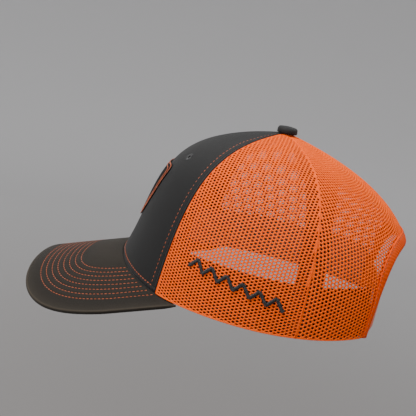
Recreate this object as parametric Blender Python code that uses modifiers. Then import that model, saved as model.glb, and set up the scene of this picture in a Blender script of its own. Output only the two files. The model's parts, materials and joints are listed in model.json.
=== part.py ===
"""Six-panel structured trucker cap with a curved visor and a plastic snap strap, in metres.

+Z is up, -Y is the front and +X is the wearer's left. The origin is the centre of the head opening,
which lies in the plane z = 0. Every crown piece is a shell that follows one surface: a meridian curve
swept round the head opening, changing smoothly from front to side to back.
"""

import math

import bmesh
import bpy
import numpy as np
from mathutils import Matrix, Vector

MM = 0.001
GAP = 0.3 * MM

# Head opening and crown surface
HALF_WIDTH = 84.2 * MM
HALF_LENGTH = 101.6 * MM
CROWN_HEIGHT = 115.0 * MM
PEAK_Y = -4.4 * MM
BACK_LIFT = 5.2 * MM
LOWER_REACH = (0.79, 1.00, 1.01)
LOWER_RISE = (0.54, 0.77, 0.53)
UPPER_REACH = (0.96, 0.64, 0.90)
UPPER_RISE = (0.86, 0.91, 0.79)

# Seams: angle from the front at the opening, angle at the peak, and how late the seam swings over
FRONT_SEAM = (54.2, 60.0, 1.45)
SIDE_SEAM = (110.8, 120.0, 1.69)
PEAK_HOLE_RADIUS = 4.0 * MM

# Back arch, as angles from the back and as a fraction of the way to the peak
ARCH_HALF_ANGLE = 38.5
ARCH_TOP = 0.39
ARCH_SQUARENESS = 0.66
ARCH_STEPS = 10

# Cloth thicknesses and how deep each layer lies under the outer face
TWILL = 0.8 * MM
NET = 0.8 * MM
BUCKRAM = (1.1 * MM, 0.8 * MM)
TAPE = (1.1 * MM, 0.5 * MM)
CENTRE_TAPE = (2.2 * MM, 0.5 * MM)
TAPE_HALF_WIDTH = 8.0 * MM
TAPE_TOP_RADIUS = 8.5 * MM
BUCKRAM_MARGIN = 6.2 * MM
SWEATBAND = (3.5 * MM, 1.2 * MM)
SWEATBAND_HEIGHT = 34.0 * MM

# Visor, a sheet rolled about a tilted axis
VISOR_ROLL_RADIUS = 118.0 * MM
VISOR_TILT = math.radians(20.5)
VISOR_HALF_WIDTH = 85.4 * MM
VISOR_LENGTH = 68.7 * MM
VISOR_END = -53.5 * MM
VISOR_FRONT_SQUARENESS = 4.9
VISOR_SIDE_SQUARENESS = 3.2
VISOR_SPAN = 65.4
VISOR_BOARD_SPAN = 62.4
VISOR_END_PHASE = 7.0
VISOR_LIFT_ANGLE = 65.4
VISOR_CLOTH = 0.7 * MM
VISOR_BOARD = 2.0 * MM
VISOR_BOARD_INSET = 1.6 * MM

# Button on the peak
BUTTON_RADIUS = 7.1 * MM
BUTTON_HEIGHT = 4.2 * MM
POST_RADIUS = 1.6 * MM
BACKING_RADIUS = 7.0 * MM

# Snap strap
STRAP_HEIGHT = 20.0 * MM
STRAP_THICKNESS = 1.2 * MM
STRAP_BOTTOM = 7.0 * MM
STRAP_BOW = 3.0 * MM
STRAP_BOW_POWER = 3.5
STRAP_REACH_PAST_CENTRE = 14.4 * MM
STRAP_CORNER = 5.0 * MM
TAB_DEPTH = 1.9 * MM
TAB_LENGTH_ANGLE = 17.0
TAB_PAST_ARCH = 1.4
SNAP_PITCH = 8.6 * MM
SNAP_COUNT = 6
PEG_RADIUS = 1.8 * MM
PEG_HEIGHT = 1.8 * MM
SNAP_HOLE_RADIUS = 2.7 * MM

# Trim
EYELET_ANGLE = 30.0
EYELET_RISE = 0.582
EYELET_RADII = (2.0 * MM, 4.0 * MM)
BADGE_MIDDLE = 49.5 * MM
BADGE_HALF_SIZE = (28.4 * MM, 22.5 * MM)
BADGE_TAPER = 0.26
BADGE_BORDER = 4.6 * MM
MOTIF_START = (66.4, 31.0 * MM)
MOTIF_END = (104.0, 19.5 * MM)
MOTIF_HALF_HEIGHT = 3.4 * MM
MOTIF_STEPS = 13
MOTIF_THREAD = 1.5 * MM

TWILL_GREY = (0.045, 0.045, 0.047)
VISOR_GREY = (0.060, 0.054, 0.048)
NET_ORANGE = (0.85, 0.17, 0.025)
THREAD_ORANGE = (0.80, 0.20, 0.05)
THREAD_BLACK = (0.012, 0.012, 0.013)
LINING_BLACK = (0.02, 0.02, 0.021)
BUCKRAM_WHITE = (0.62, 0.61, 0.58)
PLASTIC_ORANGE = (0.78, 0.15, 0.02)
BOARD_WHITE = (0.70, 0.70, 0.68)
STEEL = (0.55, 0.55, 0.56)


def clear_scene():
    for obj in list(bpy.data.objects):
        bpy.data.objects.remove(obj, do_unlink=True)


def make_collection(name, helper=False):
    collection = bpy.data.collections.new(name)
    bpy.context.scene.collection.children.link(collection)
    collection.hide_render = helper
    return collection


def make_material(name, colour, roughness, metallic=0.0):
    material = bpy.data.materials.new(name)
    material.use_nodes = True
    shader = material.node_tree.nodes["Principled BSDF"]
    shader.inputs["Base Color"].default_value = (*colour, 1.0)
    shader.inputs["Roughness"].default_value = roughness
    shader.inputs["Metallic"].default_value = metallic
    material.diffuse_color = (*colour, 1.0)
    return material


def around(values, angle):
    """One of three values (front, side, back) blended smoothly for the direction `angle`."""
    front, side, back = values
    mean = (front + 2 * side + back) / 4
    second = (front - 2 * side + back) / 4
    return mean + (front - back) / 2 * np.cos(angle) + second * np.cos(2 * angle)


def visor_drop(x):
    """How far the rolled visor has fallen below its ridge, at a distance x to one side."""
    return np.sqrt(np.maximum(VISOR_ROLL_RADIUS**2 - x * x, 1e-9)) - VISOR_ROLL_RADIUS


def visor_forward(x, y):
    """Distance along the visor, forward of the front of the head opening, under the point (x, y)."""
    return (-(y + HALF_LENGTH) - visor_drop(x) * math.sin(VISOR_TILT)) / math.cos(VISOR_TILT)


def visor_rise(x, y):
    """Height of the visor under (x, y), measured from the front of the head opening."""
    return -visor_forward(x, y) * math.sin(VISOR_TILT) + visor_drop(x) * math.cos(VISOR_TILT)


def opening(angle):
    return HALF_WIDTH * np.sin(angle), -HALF_LENGTH * np.cos(angle)


VISOR_LIFT = -float(visor_rise(*opening(math.radians(VISOR_LIFT_ANGLE))))


def rim(angle):
    """The lower edge of the crown: level at the sides, arched over the visor, lifted a little behind."""
    x, y = opening(angle)
    over_visor = np.cos(angle) > math.cos(math.radians(VISOR_LIFT_ANGLE))
    z = np.where(over_visor, np.maximum(visor_rise(x, y) + VISOR_LIFT, 0), 0)
    turned = np.abs((angle + math.pi) % (2 * math.pi) - math.pi)
    behind = np.clip((turned - math.pi / 2) / (math.pi / 3), 0, 2)
    return x, y, z + BACK_LIFT * behind**2


def crown_face(angle, rise):
    """A point on the outer face of the crown: rise goes from 0 at the lower edge to 1 at the peak."""
    angle, rise = np.broadcast_arrays(np.asarray(angle, float), np.asarray(rise, float))
    x, y, z = rim(angle)
    fall = 1 - rise
    lower = 3 * fall * fall * rise
    upper = 3 * fall * rise * rise
    reach = fall**3 + lower * around(LOWER_REACH, angle) + upper * around(UPPER_REACH, angle)
    height = lower * around(LOWER_RISE, angle) + upper * around(UPPER_RISE, angle) + rise**3
    return np.stack([x * reach, PEAK_Y + (y - PEAK_Y) * reach, z * fall**3 + CROWN_HEIGHT * height], -1)


def crown(angle, rise, depth=0.0):
    """A point `depth` inside the outer face of the crown."""
    step = 1e-3
    across = crown_face(angle + step, rise) - crown_face(angle - step, rise)
    along = crown_face(angle, rise + step) - crown_face(angle, rise - step)
    outward = np.cross(across, along)
    outward /= np.linalg.norm(outward, axis=-1, keepdims=True)
    return crown_face(angle, rise) - outward * np.asarray(depth)[..., None]


def axis_distance(angle, rise):
    point = crown_face(angle, rise)
    return np.hypot(point[..., 0], point[..., 1] - PEAK_Y)


def rise_at_radius(angle, radius):
    """The rise at which the crown comes within `radius` of the line through the peak."""
    rises = np.linspace(0.7, 1, 301)
    return float(np.interp(-radius, -axis_distance(angle, rises), rises))


def rise_at_length(angle, length):
    """The rise reached after going `length` up the crown from its lower edge."""
    rises = np.linspace(0, 1, 401)
    steps = np.linalg.norm(np.diff(crown_face(angle, rises), axis=0), axis=1)
    return float(np.interp(length, np.concatenate([[0], np.cumsum(steps)]), rises))


def seam_angle(seam, rise):
    low, high, power = seam
    return np.radians(low + (high - low) * np.asarray(rise) ** power)


FRONT_CENTRE = (0.0, 0.0, 1.0)
BACK_CENTRE = (180.0, 180.0, 1.0)


def lerp(a, b, t):
    return a + (b - a) * t


def between(first, second, share, rise, margin=GAP / 2):
    """The angle a given share of the way from one seam to the next, kept a margin off both."""
    inset = margin / np.maximum(axis_distance(seam_angle(first, rise), rise), 1 * MM)
    return lerp(seam_angle(first, rise) + inset, seam_angle(second, rise) - inset, share)


def arch_share(phase):
    """Where the arch edge lies, as a share of the way across the back panel."""
    width = 180.0 - SIDE_SEAM[0]
    return 1 - ARCH_HALF_ANGLE / width * max(math.cos(phase), 0.0) ** ARCH_SQUARENESS


def arch_rise(phase):
    return ARCH_TOP * math.sin(phase)


def new_object(name, collection, material, vertices, faces):
    mesh = bpy.data.meshes.new(name)
    mesh.from_pydata([tuple(v) for v in vertices], [], faces)
    mesh.materials.append(material)
    mesh.update()
    obj = bpy.data.objects.new(name, mesh)
    collection.objects.link(obj)
    shade_smooth(obj)
    return obj


def shade_smooth(obj):
    for polygon in obj.data.polygons:
        polygon.use_smooth = True


def face_outward(obj):
    """Turns every face of a closed mesh to point out of it."""
    edit = bmesh.new()
    edit.from_mesh(obj.data)
    bmesh.ops.recalc_face_normals(edit, faces=edit.faces)
    edit.to_mesh(obj.data)
    edit.free()


def thicken(obj, thickness, offset=-1.0):
    solid = obj.modifiers.new("thickness", "SOLIDIFY")
    solid.thickness = thickness
    solid.offset = offset


def sheet(name, collection, material, grid, thickness, wrap=False, offset=-1.0, mirrored=False):
    """A cloth piece: a loft through the rows of points in `grid`, thickened inward."""
    grid = np.array(grid, float)
    if mirrored:
        grid = grid[::-1] * np.array([-1.0, 1.0, 1.0])
    rows, columns = grid.shape[:2]
    faces = []
    for i in range(rows if wrap else rows - 1):
        for j in range(columns - 1):
            a = i * columns + j
            b = (i + 1) % rows * columns + j
            faces.append((a, b, b + 1, a + 1))
    obj = new_object(name, collection, material, grid.reshape(-1, 3), faces)
    thicken(obj, thickness, offset)
    return obj


def loft(name, collection, material, sections):
    """A closed solid through closed sections of equal point count, capped at both ends."""
    sections = np.array(sections, float)
    count, ring = sections.shape[:2]
    faces = []
    for i in range(count - 1):
        for j in range(ring):
            a = i * ring + j
            b = i * ring + (j + 1) % ring
            faces.append((a, b, b + ring, a + ring))
    faces.append(tuple(range(ring)))
    faces.append(tuple((count - 1) * ring + j for j in range(ring)))
    obj = new_object(name, collection, material, sections.reshape(-1, 3), faces)
    face_outward(obj)
    return obj


def lathe(name, collection, material, profile, centre, steps=28):
    """A turned piece: a closed (radius, height) profile spun about the vertical through `centre`."""
    vertices = [(radius, 0.0, height) for radius, height in profile]
    edges = [(i, i + 1) for i in range(len(profile) - 1)]
    if profile[0][0] > 0:
        edges.append((len(profile) - 1, 0))
    mesh = bpy.data.meshes.new(name)
    mesh.from_pydata(vertices, edges, [])
    mesh.materials.append(material)
    obj = bpy.data.objects.new(name, mesh)
    collection.objects.link(obj)
    obj.location = centre
    spin = obj.modifiers.new("turn", "SCREW")
    spin.steps = steps
    spin.render_steps = steps
    spin.use_merge_vertices = True
    spin.merge_threshold = 0.00001
    spin.use_smooth_shade = True
    return obj


def cylinder(name, collection, material, radius, start, end, segments=20):
    """A round bar between two points."""
    start = Vector(start)
    end = Vector(end)
    mesh = bpy.data.meshes.new(name)
    edit = bmesh.new()
    length = (end - start).length
    turn = (end - start).to_track_quat("Z", "Y").to_matrix().to_4x4()
    place = Matrix.Translation((start + end) / 2) @ turn
    bmesh.ops.create_cone(
        edit, cap_ends=True, segments=segments, radius1=radius, radius2=radius, depth=length, matrix=place
    )
    edit.to_mesh(mesh)
    edit.free()
    mesh.materials.append(material)
    obj = bpy.data.objects.new(name, mesh)
    collection.objects.link(obj)
    return obj


def combine(obj, other, operation):
    boolean = obj.modifiers.new(operation.lower(), "BOOLEAN")
    boolean.operation = operation
    boolean.solver = "EXACT"
    boolean.object = other


def column_rises(low, high, count):
    return np.linspace(low, high, count)


def crown_strip(first, second, shares, low, high_radius, rows, depth, margin):
    """Grid of points on a crown piece between two seams, from the rise `low` up to near the peak."""
    grid = []
    for share in shares:
        middle = math.radians(lerp(first[1], second[1], share))
        rises = column_rises(low(share), rise_at_radius(middle, high_radius), rows)
        grid.append(crown(between(first, second, share, rises, margin), rises, depth))
    return grid


def back_shares(margin_columns, arch_columns):
    """Shares across a back panel: even beside the side seam, then following the arch."""
    phases = np.linspace(0, math.pi / 2, arch_columns + 1)
    plain = np.linspace(0, arch_share(0), margin_columns + 1)[:-1]
    shares = list(plain) + [arch_share(phase) for phase in phases]
    rises = [0.0] * len(plain) + [arch_rise(phase) for phase in phases]
    return dict(zip(shares, rises))


def build_crown(shell, twill, net, buckram, tape):
    arch = back_shares(4, ARCH_STEPS)
    level = lambda share: 0.0
    for side, mirrored in (("left", False), ("right", True)):
        grid = crown_strip(
            FRONT_CENTRE, FRONT_SEAM, np.linspace(0, 1, 10), level, PEAK_HOLE_RADIUS, 17, 0.0, GAP / 2
        )
        sheet(f"front_panel_{side}", shell, twill, grid, TWILL, mirrored=mirrored)
        grid = crown_strip(
            FRONT_SEAM, SIDE_SEAM, np.linspace(0, 1, 11), level, PEAK_HOLE_RADIUS, 17, 0.0, GAP / 2
        )
        sheet(f"mesh_side_{side}", shell, net, grid, NET, mirrored=mirrored)
        grid = crown_strip(
            SIDE_SEAM, BACK_CENTRE, list(arch), arch.get, PEAK_HOLE_RADIUS, 17, 0.0, GAP / 2
        )
        sheet(f"mesh_back_{side}", shell, net, grid, NET, mirrored=mirrored)
        grid = buckram_grid()
        sheet(f"front_buckram_{side}", shell, buckram, grid, BUCKRAM[1], mirrored=mirrored)
        for name, seam in (("front", FRONT_SEAM), ("side", SIDE_SEAM)):
            grid = tape_grid(seam, 0.004, TAPE[0])
            sheet(f"seam_tape_{name}_{side}", shell, tape, grid, TAPE[1], mirrored=mirrored)
    grid = tape_grid(FRONT_CENTRE, 0.004, CENTRE_TAPE[0])
    sheet("seam_tape_front_center", shell, tape, grid, CENTRE_TAPE[1])
    grid = tape_grid(BACK_CENTRE, ARCH_TOP + 0.065, TAPE[0])
    sheet("seam_tape_back_center", shell, tape, grid, TAPE[1])


def buckram_grid():
    """The stiffener stops short of the side seam, where the seam tape lies at the same depth."""
    grid = []
    for share in np.linspace(0, 1, 9):
        middle = math.radians(lerp(FRONT_CENTRE[1], FRONT_SEAM[1], share))
        rises = column_rises(0.006, rise_at_radius(middle, TAPE_TOP_RADIUS), 16)
        first = seam_angle(FRONT_CENTRE, rises) + GAP / 2 / axis_distance(0.0, rises)
        last = seam_angle(FRONT_SEAM, rises)
        last = last - (tape_half_angle(FRONT_SEAM, rises) + 0.7 * MM / axis_distance(last, rises))
        grid.append(crown(lerp(first, last, share), rises, BUCKRAM[0]))
    return grid


def tape_half_angle(seam, rise):
    radius = axis_distance(seam_angle(seam, rise), rise)
    return np.minimum(TAPE_HALF_WIDTH, 0.42 * radius) / radius


def tape_grid(seam, low, depth):
    grid = []
    top = rise_at_radius(math.radians(seam[1]), TAPE_TOP_RADIUS)
    rises = column_rises(low, top, 16)
    for share in (-1.0, 0.0, 1.0):
        grid.append(crown(seam_angle(seam, rises) + share * tape_half_angle(seam, rises), rises, depth))
    return grid


def build_sweatband(shell, material):
    edge = 180 - ARCH_HALF_ANGLE - 0.9
    grid = []
    for angle in np.radians(np.linspace(-edge, edge, 57)):
        rises = [rise_at_length(angle, SWEATBAND_HEIGHT * share) for share in (0.03, 0.34, 0.67, 1.0)]
        grid.append(crown(angle, np.array(rises), SWEATBAND[0]))
    sheet("sweatband", shell, material, grid, SWEATBAND[1])


def build_arch_binding(shell, material):
    """A folded strip that wraps the raw edge of the arch, C-shaped across its width."""
    profile = ((1.0, -0.8), (0.5, -0.8), (-0.12, -0.8), (-0.12, 1.6), (0.5, 1.6), (1.0, 1.6))
    profile += ((1.0, 1.1), (0.5, 1.1), (-0.05, 1.1), (-0.05, -0.3), (0.5, -0.3), (1.0, -0.3))
    sections = []
    for phase in np.linspace(0.0, math.pi, 2 * ARCH_STEPS + 1):
        mirrored = phase > math.pi / 2 + 1e-6
        local = math.pi - phase if mirrored else phase
        edge = arch_point(local)
        inner = inward_of_arch(local)
        section = []
        for across, depth in profile:
            angle, rise = lerp(edge, inner, across)
            section.append(crown(angle, max(rise, 0.001), depth * MM))
        section = np.array(section)
        sections.append(section * np.array([-1.0, 1.0, 1.0]) if mirrored else section)
    loft("arch_binding", shell, material, sections)


def arch_point(phase):
    """(angle, rise) of the arch edge on the wearer's left."""
    rise = arch_rise(phase)
    share = arch_share(phase)
    if phase > math.pi / 2 - 1e-6:
        return np.array([math.pi, rise])
    return np.array([float(between(SIDE_SEAM, BACK_CENTRE, share, rise, 0.0)), rise])


def inward_of_arch(phase, distance=7.5 * MM):
    """(angle, rise) of a point on the crown a set distance into the panel, square to the arch edge."""
    here = arch_point(phase)
    centre = np.array([math.pi, 0.0])
    scale = np.array([axis_distance(here[0], here[1]), 120 * MM])
    if phase < 1e-6:
        along = np.array([0.0, 1.0])
    else:
        ahead = arch_point(min(phase + 0.02, math.pi / 2))
        behind = arch_point(max(phase - 0.02, 0.0))
        along = (ahead - behind) * scale
    if phase > math.pi / 2 - 1e-6:
        along = np.array([1.0, 0.0])
    square = np.array([-along[1], along[0]])
    if np.dot(square, (here - centre) * scale) < 0:
        square = -square
    square /= np.linalg.norm(square)
    return here + square * distance / scale


def visor_point(across, forward, depth=0.0):
    """A point of the visor, from distances measured on its unrolled sheet."""
    radius = VISOR_ROLL_RADIUS - depth
    turn = across / VISOR_ROLL_RADIUS
    drop = radius * np.cos(turn) - VISOR_ROLL_RADIUS
    return np.stack([
        radius * np.sin(turn),
        -HALF_LENGTH - forward * math.cos(VISOR_TILT) - drop * math.sin(VISOR_TILT),
        VISOR_LIFT - forward * math.sin(VISOR_TILT) + drop * math.cos(VISOR_TILT),
    ], -1)


def even_steps(points, count):
    """Parameters that cut a polyline into steps of equal length."""
    lengths = np.linalg.norm(np.diff(points, axis=0), axis=1)
    total = np.concatenate([[0], np.cumsum(lengths)])
    return np.interp(np.linspace(0, total[-1], count), total, np.linspace(0, 1, len(points)))


def visor_outline(inset, phase):
    """The free edge of the visor on its unrolled sheet, for a phase from 0 to pi."""
    side = np.cos(phase)
    front = np.abs(np.sin(phase)) ** (2 / VISOR_FRONT_SQUARENESS)
    across = np.sign(side) * np.abs(side) ** (2 / VISOR_SIDE_SQUARENESS) * (VISOR_HALF_WIDTH - inset)
    return np.stack([across, VISOR_END + front * (VISOR_LENGTH - inset - VISOR_END)], -1)


def visor_root(clearance, angle):
    """The edge of the visor against the crown, on the unrolled sheet."""
    grow = 1 + clearance / HALF_WIDTH
    x, y = opening(angle)
    x, y = x * grow, y * grow
    return np.stack([VISOR_ROLL_RADIUS * np.arcsin(x / VISOR_ROLL_RADIUS), visor_forward(x, y)], -1)


def visor_grid(inset, clearance, depth, span=VISOR_SPAN, columns=25, rows=5):
    fine = np.linspace(0, 1, 401)
    first = math.radians(VISOR_END_PHASE)
    phases = math.pi - first - fine * (math.pi - 2 * first)
    angles = np.radians(span) * (2 * fine - 1)
    phases = np.interp(even_steps(visor_outline(inset, phases), columns), fine, phases)
    angles = np.interp(even_steps(visor_root(clearance, angles), columns), fine, angles)
    outer = visor_outline(inset, phases)
    inner = visor_root(clearance, angles)
    grid = []
    for near, far in zip(inner, outer):
        flat = np.array([lerp(near, far, share) for share in np.linspace(0, 1, rows)])
        grid.append(visor_point(flat[:, 0], flat[:, 1], depth))
    return grid[::-1]


def build_visor(shell, cloth, board):
    depth = 0.0
    clearance = 0.8 * MM
    sheet("visor_top", shell, cloth, visor_grid(0.0, clearance, depth), VISOR_CLOTH)
    depth += VISOR_CLOTH + GAP
    grid = visor_grid(VISOR_BOARD_INSET, clearance + 1.2 * MM, depth, VISOR_BOARD_SPAN)
    sheet("visor_board", shell, board, grid, VISOR_BOARD)
    depth += VISOR_BOARD + GAP
    sheet("visor_underside", shell, cloth, visor_grid(0.0, clearance, depth), VISOR_CLOTH)


def build_button(shell, cloth, metal):
    peak = (0.0, PEAK_Y, CROWN_HEIGHT)
    r = BUTTON_RADIUS
    h = BUTTON_HEIGHT
    dome = [
        (0, h), (0.35 * r, 0.985 * h), (0.66 * r, 0.90 * h), (0.86 * r, 0.74 * h), (0.97 * r, 0.48 * h),
        (r, 0.14 * h), (0.985 * r, -0.4 * MM), (0.90 * r, -0.6 * MM), (0.60 * r, -0.2 * MM),
        (POST_RADIUS + GAP, 0.15 * MM), (POST_RADIUS + GAP, 0.5 * h), (0, 0.5 * h),
    ]
    lathe("button_cover", shell, cloth, dome, peak)
    foot = -5.2 * MM
    top = 0.5 * h - GAP
    post = [(0, top), (POST_RADIUS, top), (POST_RADIUS, foot), (0, foot)]
    lathe("button_post", shell, metal, post, peak, 20)
    bore = POST_RADIUS + GAP
    back = [
        (bore, -4.2 * MM), (0.8 * BACKING_RADIUS, -4.2 * MM), (BACKING_RADIUS, -4.5 * MM),
        (BACKING_RADIUS, -5.2 * MM), (bore, -5.2 * MM),
    ]
    lathe("button_backing", shell, metal, back, peak)


def strap_hinge():
    """Where the free strap leaves the back of the crown, on the wearer's left."""
    angle = math.radians(180 - ARCH_HALF_ANGLE + TAB_PAST_ARCH)
    point = crown(angle, 0.1, TAB_DEPTH + STRAP_THICKNESS / 2)
    return float(point[0]) - 1.4 * MM, float(point[1]) + 0.9 * MM


def strap_line(x, outward):
    """How far back the closed strap lies, for a position across the arch."""
    half, back = strap_hinge()
    bow = STRAP_BOW + outward
    return back + bow * (1 - np.abs(x / half) ** STRAP_BOW_POWER)


def strap_grid(start, tip, outward):
    """Upright strip from the hinge to its rounded tip, with its top and bottom edges as two columns."""
    length = abs(tip - start)
    spots = np.concatenate([np.linspace(0, length - STRAP_CORNER, 23), length - STRAP_CORNER * np.array(
        [0.75, 0.5, 0.3, 0.15, 0.05, 0.0])])
    grid = []
    middle = STRAP_BOTTOM + STRAP_HEIGHT / 2
    for spot in spots:
        x = start + math.copysign(spot, tip - start)
        to_tip = min(length - spot, STRAP_CORNER)
        corner = STRAP_CORNER - math.sqrt(max(STRAP_CORNER**2 - (STRAP_CORNER - to_tip) ** 2, 0))
        half = STRAP_HEIGHT / 2 - corner
        y = strap_line(x, outward)
        grid.append([(x, y, middle + level * half) for level in (-1.0, 0.0, 1.0)])
    return grid


def strap_frame(x, outward):
    """Centre of a snap and the direction square to the strap there."""
    step = 0.1 * MM
    slope = (strap_line(x + step, outward) - strap_line(x - step, outward)) / (2 * step)
    square = Vector((-slope, 1.0, 0.0)).normalized()
    return Vector((x, strap_line(x, outward), STRAP_BOTTOM + STRAP_HEIGHT / 2)), square


def join_meshes(name, collection, material, parts):
    """One mesh object from several separate ones, which are then removed."""
    edit = bmesh.new()
    for part in parts:
        edit.from_mesh(part.data)
    mesh = bpy.data.meshes.new(name)
    edit.to_mesh(mesh)
    edit.free()
    mesh.materials.append(material)
    for part in parts:
        bpy.data.objects.remove(part, do_unlink=True)
    obj = bpy.data.objects.new(name, mesh)
    collection.objects.link(obj)
    return obj


def move_origin(obj, origin):
    origin = Vector(origin)
    obj.data.transform(Matrix.Translation(-origin))
    obj.location = origin


def build_straps(shell, helpers, plastic):
    half, back = strap_hinge()
    step = STRAP_THICKNESS + GAP
    free = half - 0.6 * MM
    holes = sheet(
        "snap_strap_holes", shell, plastic, strap_grid(free, -STRAP_REACH_PAST_CENTRE, step)[::-1],
        STRAP_THICKNESS, offset=0.0,
    )
    pegs = sheet(
        "snap_strap_pegs", shell, plastic, strap_grid(-free, STRAP_REACH_PAST_CENTRE, 0.0),
        STRAP_THICKNESS, offset=0.0,
    )
    bores = []
    studs = []
    for index in range(SNAP_COUNT):
        x = (index - 1) * SNAP_PITCH
        centre, square = strap_frame(x, step)
        bores.append(cylinder("bore", helpers, plastic, SNAP_HOLE_RADIUS, centre - square * 2 * MM,
                              centre + square * 2 * MM))
        centre, square = strap_frame(-x, 0.0)
        base = centre + square * 0.1 * MM
        top = centre + square * (STRAP_THICKNESS / 2 + PEG_HEIGHT)
        studs.append(cylinder("stud", helpers, plastic, PEG_RADIUS, base, top, 16))
    combine(holes, join_meshes("snap_bores", helpers, plastic, bores), "DIFFERENCE")
    combine(pegs, join_meshes("snap_studs", helpers, plastic, studs), "UNION")
    for name in ("snap_bores", "snap_studs"):
        bpy.data.objects[name].display_type = "WIRE"
        bpy.data.objects[name].hide_render = True
    move_origin(holes, (half, back, STRAP_BOTTOM + STRAP_HEIGHT / 2))
    move_origin(pegs, (-half, back, STRAP_BOTTOM + STRAP_HEIGHT / 2))
    for side, mirrored in (("left", False), ("right", True)):
        sheet(f"strap_tab_{side}", shell, plastic, tab_grid(), STRAP_THICKNESS, mirrored=mirrored)


def tab_grid():
    """The end of the strap that is sewn inside the back of the crown."""
    edge = 180 - ARCH_HALF_ANGLE + TAB_PAST_ARCH
    grid = []
    for angle in np.radians(np.linspace(edge - TAB_LENGTH_ANGLE, edge, 7)):
        low = rise_at_height(angle, STRAP_BOTTOM)
        high = rise_at_height(angle, STRAP_BOTTOM + STRAP_HEIGHT)
        grid.append(crown(angle, np.linspace(low, high, 4), TAB_DEPTH))
    return grid


def rise_at_height(angle, height):
    rises = np.linspace(0, 0.6, 301)
    return float(np.interp(height, crown_face(angle, rises)[:, 2], rises))


def build_eyelets(shell, helpers, thread):
    for side, sign in (("left", 1.0), ("right", -1.0)):
        angle = math.radians(EYELET_ANGLE)
        centre = Vector(crown(angle, EYELET_RISE))
        inside = Vector(crown(angle, EYELET_RISE, 5 * MM))
        centre.x *= sign
        inside.x *= sign
        outward = (centre - inside).normalized()
        bore = cylinder(f"eyelet_bore_{side}", helpers, thread, EYELET_RADII[0],
                        centre - outward * 6 * MM, centre + outward * 3 * MM)
        bore.display_type = "WIRE"
        bore.hide_render = True
        for piece in ("front_panel", "front_buckram"):
            combine(bpy.data.objects[f"{piece}_{side}"], bore, "DIFFERENCE")
        near, far = EYELET_RADII
        ring = [(near, 1.05 * MM), (lerp(near, far, 0.5), 1.25 * MM), (far, 1.0 * MM), (far, 0.45 * MM),
                (near, 0.45 * MM)]
        eyelet = lathe(f"eyelet_{side}", shell, thread, ring, centre, 24)
        eyelet.rotation_mode = "QUATERNION"
        eyelet.rotation_quaternion = outward.to_track_quat("Z", "Y")


def badge_point(across, up, depth):
    """A point over the front of the crown, `across` from its centre seam and `up` from the visor."""
    rise = rise_at_length(0.0, max(up, 0.0))
    step = 0.02
    pace = np.linalg.norm(crown_face(step, rise) - crown_face(-step, rise)) / (2 * step)
    return crown(across / float(pace), rise, depth)


def shield(phase, grow):
    """Outline of a plain shield: level top with square corners, narrowing to a rounded foot."""
    side = math.cos(phase)
    lift = math.sin(phase)
    power = 0.25 if lift > 0 else 0.5
    across = math.copysign(abs(side) ** power, side)
    up = math.copysign(abs(lift) ** power, lift)
    width = 1 - BADGE_TAPER * max(-up, 0)
    return (BADGE_HALF_SIZE[0] + grow) * across * width, (BADGE_HALF_SIZE[1] + grow) * up


def shield_phases(count):
    """Phases that cut the shield's outline into steps of equal length."""
    phases = np.linspace(0, 2 * math.pi, 2001)
    outline = np.array([shield(phase, 0.0) for phase in phases])
    return np.interp(even_steps(outline, count + 1), np.linspace(0, 1, len(phases)), phases)[:-1]


def shield_grid(inner, outer, rows, depth, count=56):
    grid = []
    for phase in shield_phases(count):
        a = np.array(shield(phase, inner))
        b = np.array(shield(phase, outer))
        column = []
        for share in np.linspace(0, 1, rows):
            across, up = lerp(a, b, share)
            column.append(badge_point(across, BADGE_MIDDLE + up, depth))
        grid.append(column)
    return grid[::-1]


def build_badge(shell, fill, border):
    grid = shield_grid(-BADGE_BORDER, 0.0, 3, -1.3 * MM)
    sheet("badge_border", shell, border, grid, 0.9 * MM, wrap=True)
    edge = shield_grid(-BADGE_BORDER - GAP, -BADGE_BORDER - GAP, 1, -1.2 * MM)
    rings = []
    for share in (1.0, 0.75, 0.5, 0.25):
        ring = []
        for phase in shield_phases(len(edge)):
            across, up = shield(phase, -BADGE_BORDER - GAP)
            ring.append(badge_point(across * share, BADGE_MIDDLE + up * share, -1.2 * MM))
        rings.append(ring)
    centre = badge_point(0.0, BADGE_MIDDLE, -1.2 * MM)
    vertices = np.concatenate([np.array(rings).reshape(-1, 3), centre[None]])
    count = len(edge)
    faces = []
    for i in range(len(rings) - 1):
        for j in range(count):
            k = (j + 1) % count
            faces.append((i * count + j, i * count + k, (i + 1) * count + k, (i + 1) * count + j))
    last = (len(rings) - 1) * count
    for j in range(count):
        faces.append((last + j, last + (j + 1) % count, len(vertices) - 1))
    patch = new_object("badge_patch", shell, fill, vertices, faces)
    thicken(patch, 0.8 * MM)


def build_motif(shell, thread):
    """A raised zigzag of satin stitching along the wearer's left side."""
    grid = []
    points = []
    for step in range(MOTIF_STEPS + 1):
        share = step / MOTIF_STEPS
        angle = math.radians(lerp(MOTIF_START[0], MOTIF_END[0], share))
        up = lerp(MOTIF_START[1], MOTIF_END[1], share)
        points.append((angle, up + (MOTIF_HALF_HEIGHT if step % 2 else -MOTIF_HALF_HEIGHT)))
    for (a, low), (b, high) in zip(points[:-1], points[1:]):
        for share in (0.0, 0.5) if (b, high) != points[-1] else (0.0, 0.5, 1.0):
            angle = lerp(a, b, share)
            up = lerp(low, high, share)
            half = MOTIF_THREAD
            rises = [rise_at_length(angle, up + level) for level in (-half, half)]
            grid.append(crown(angle, np.array(rises), -1.5 * MM))
    sheet("side_motif", shell, thread, grid, 1.2 * MM)


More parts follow.
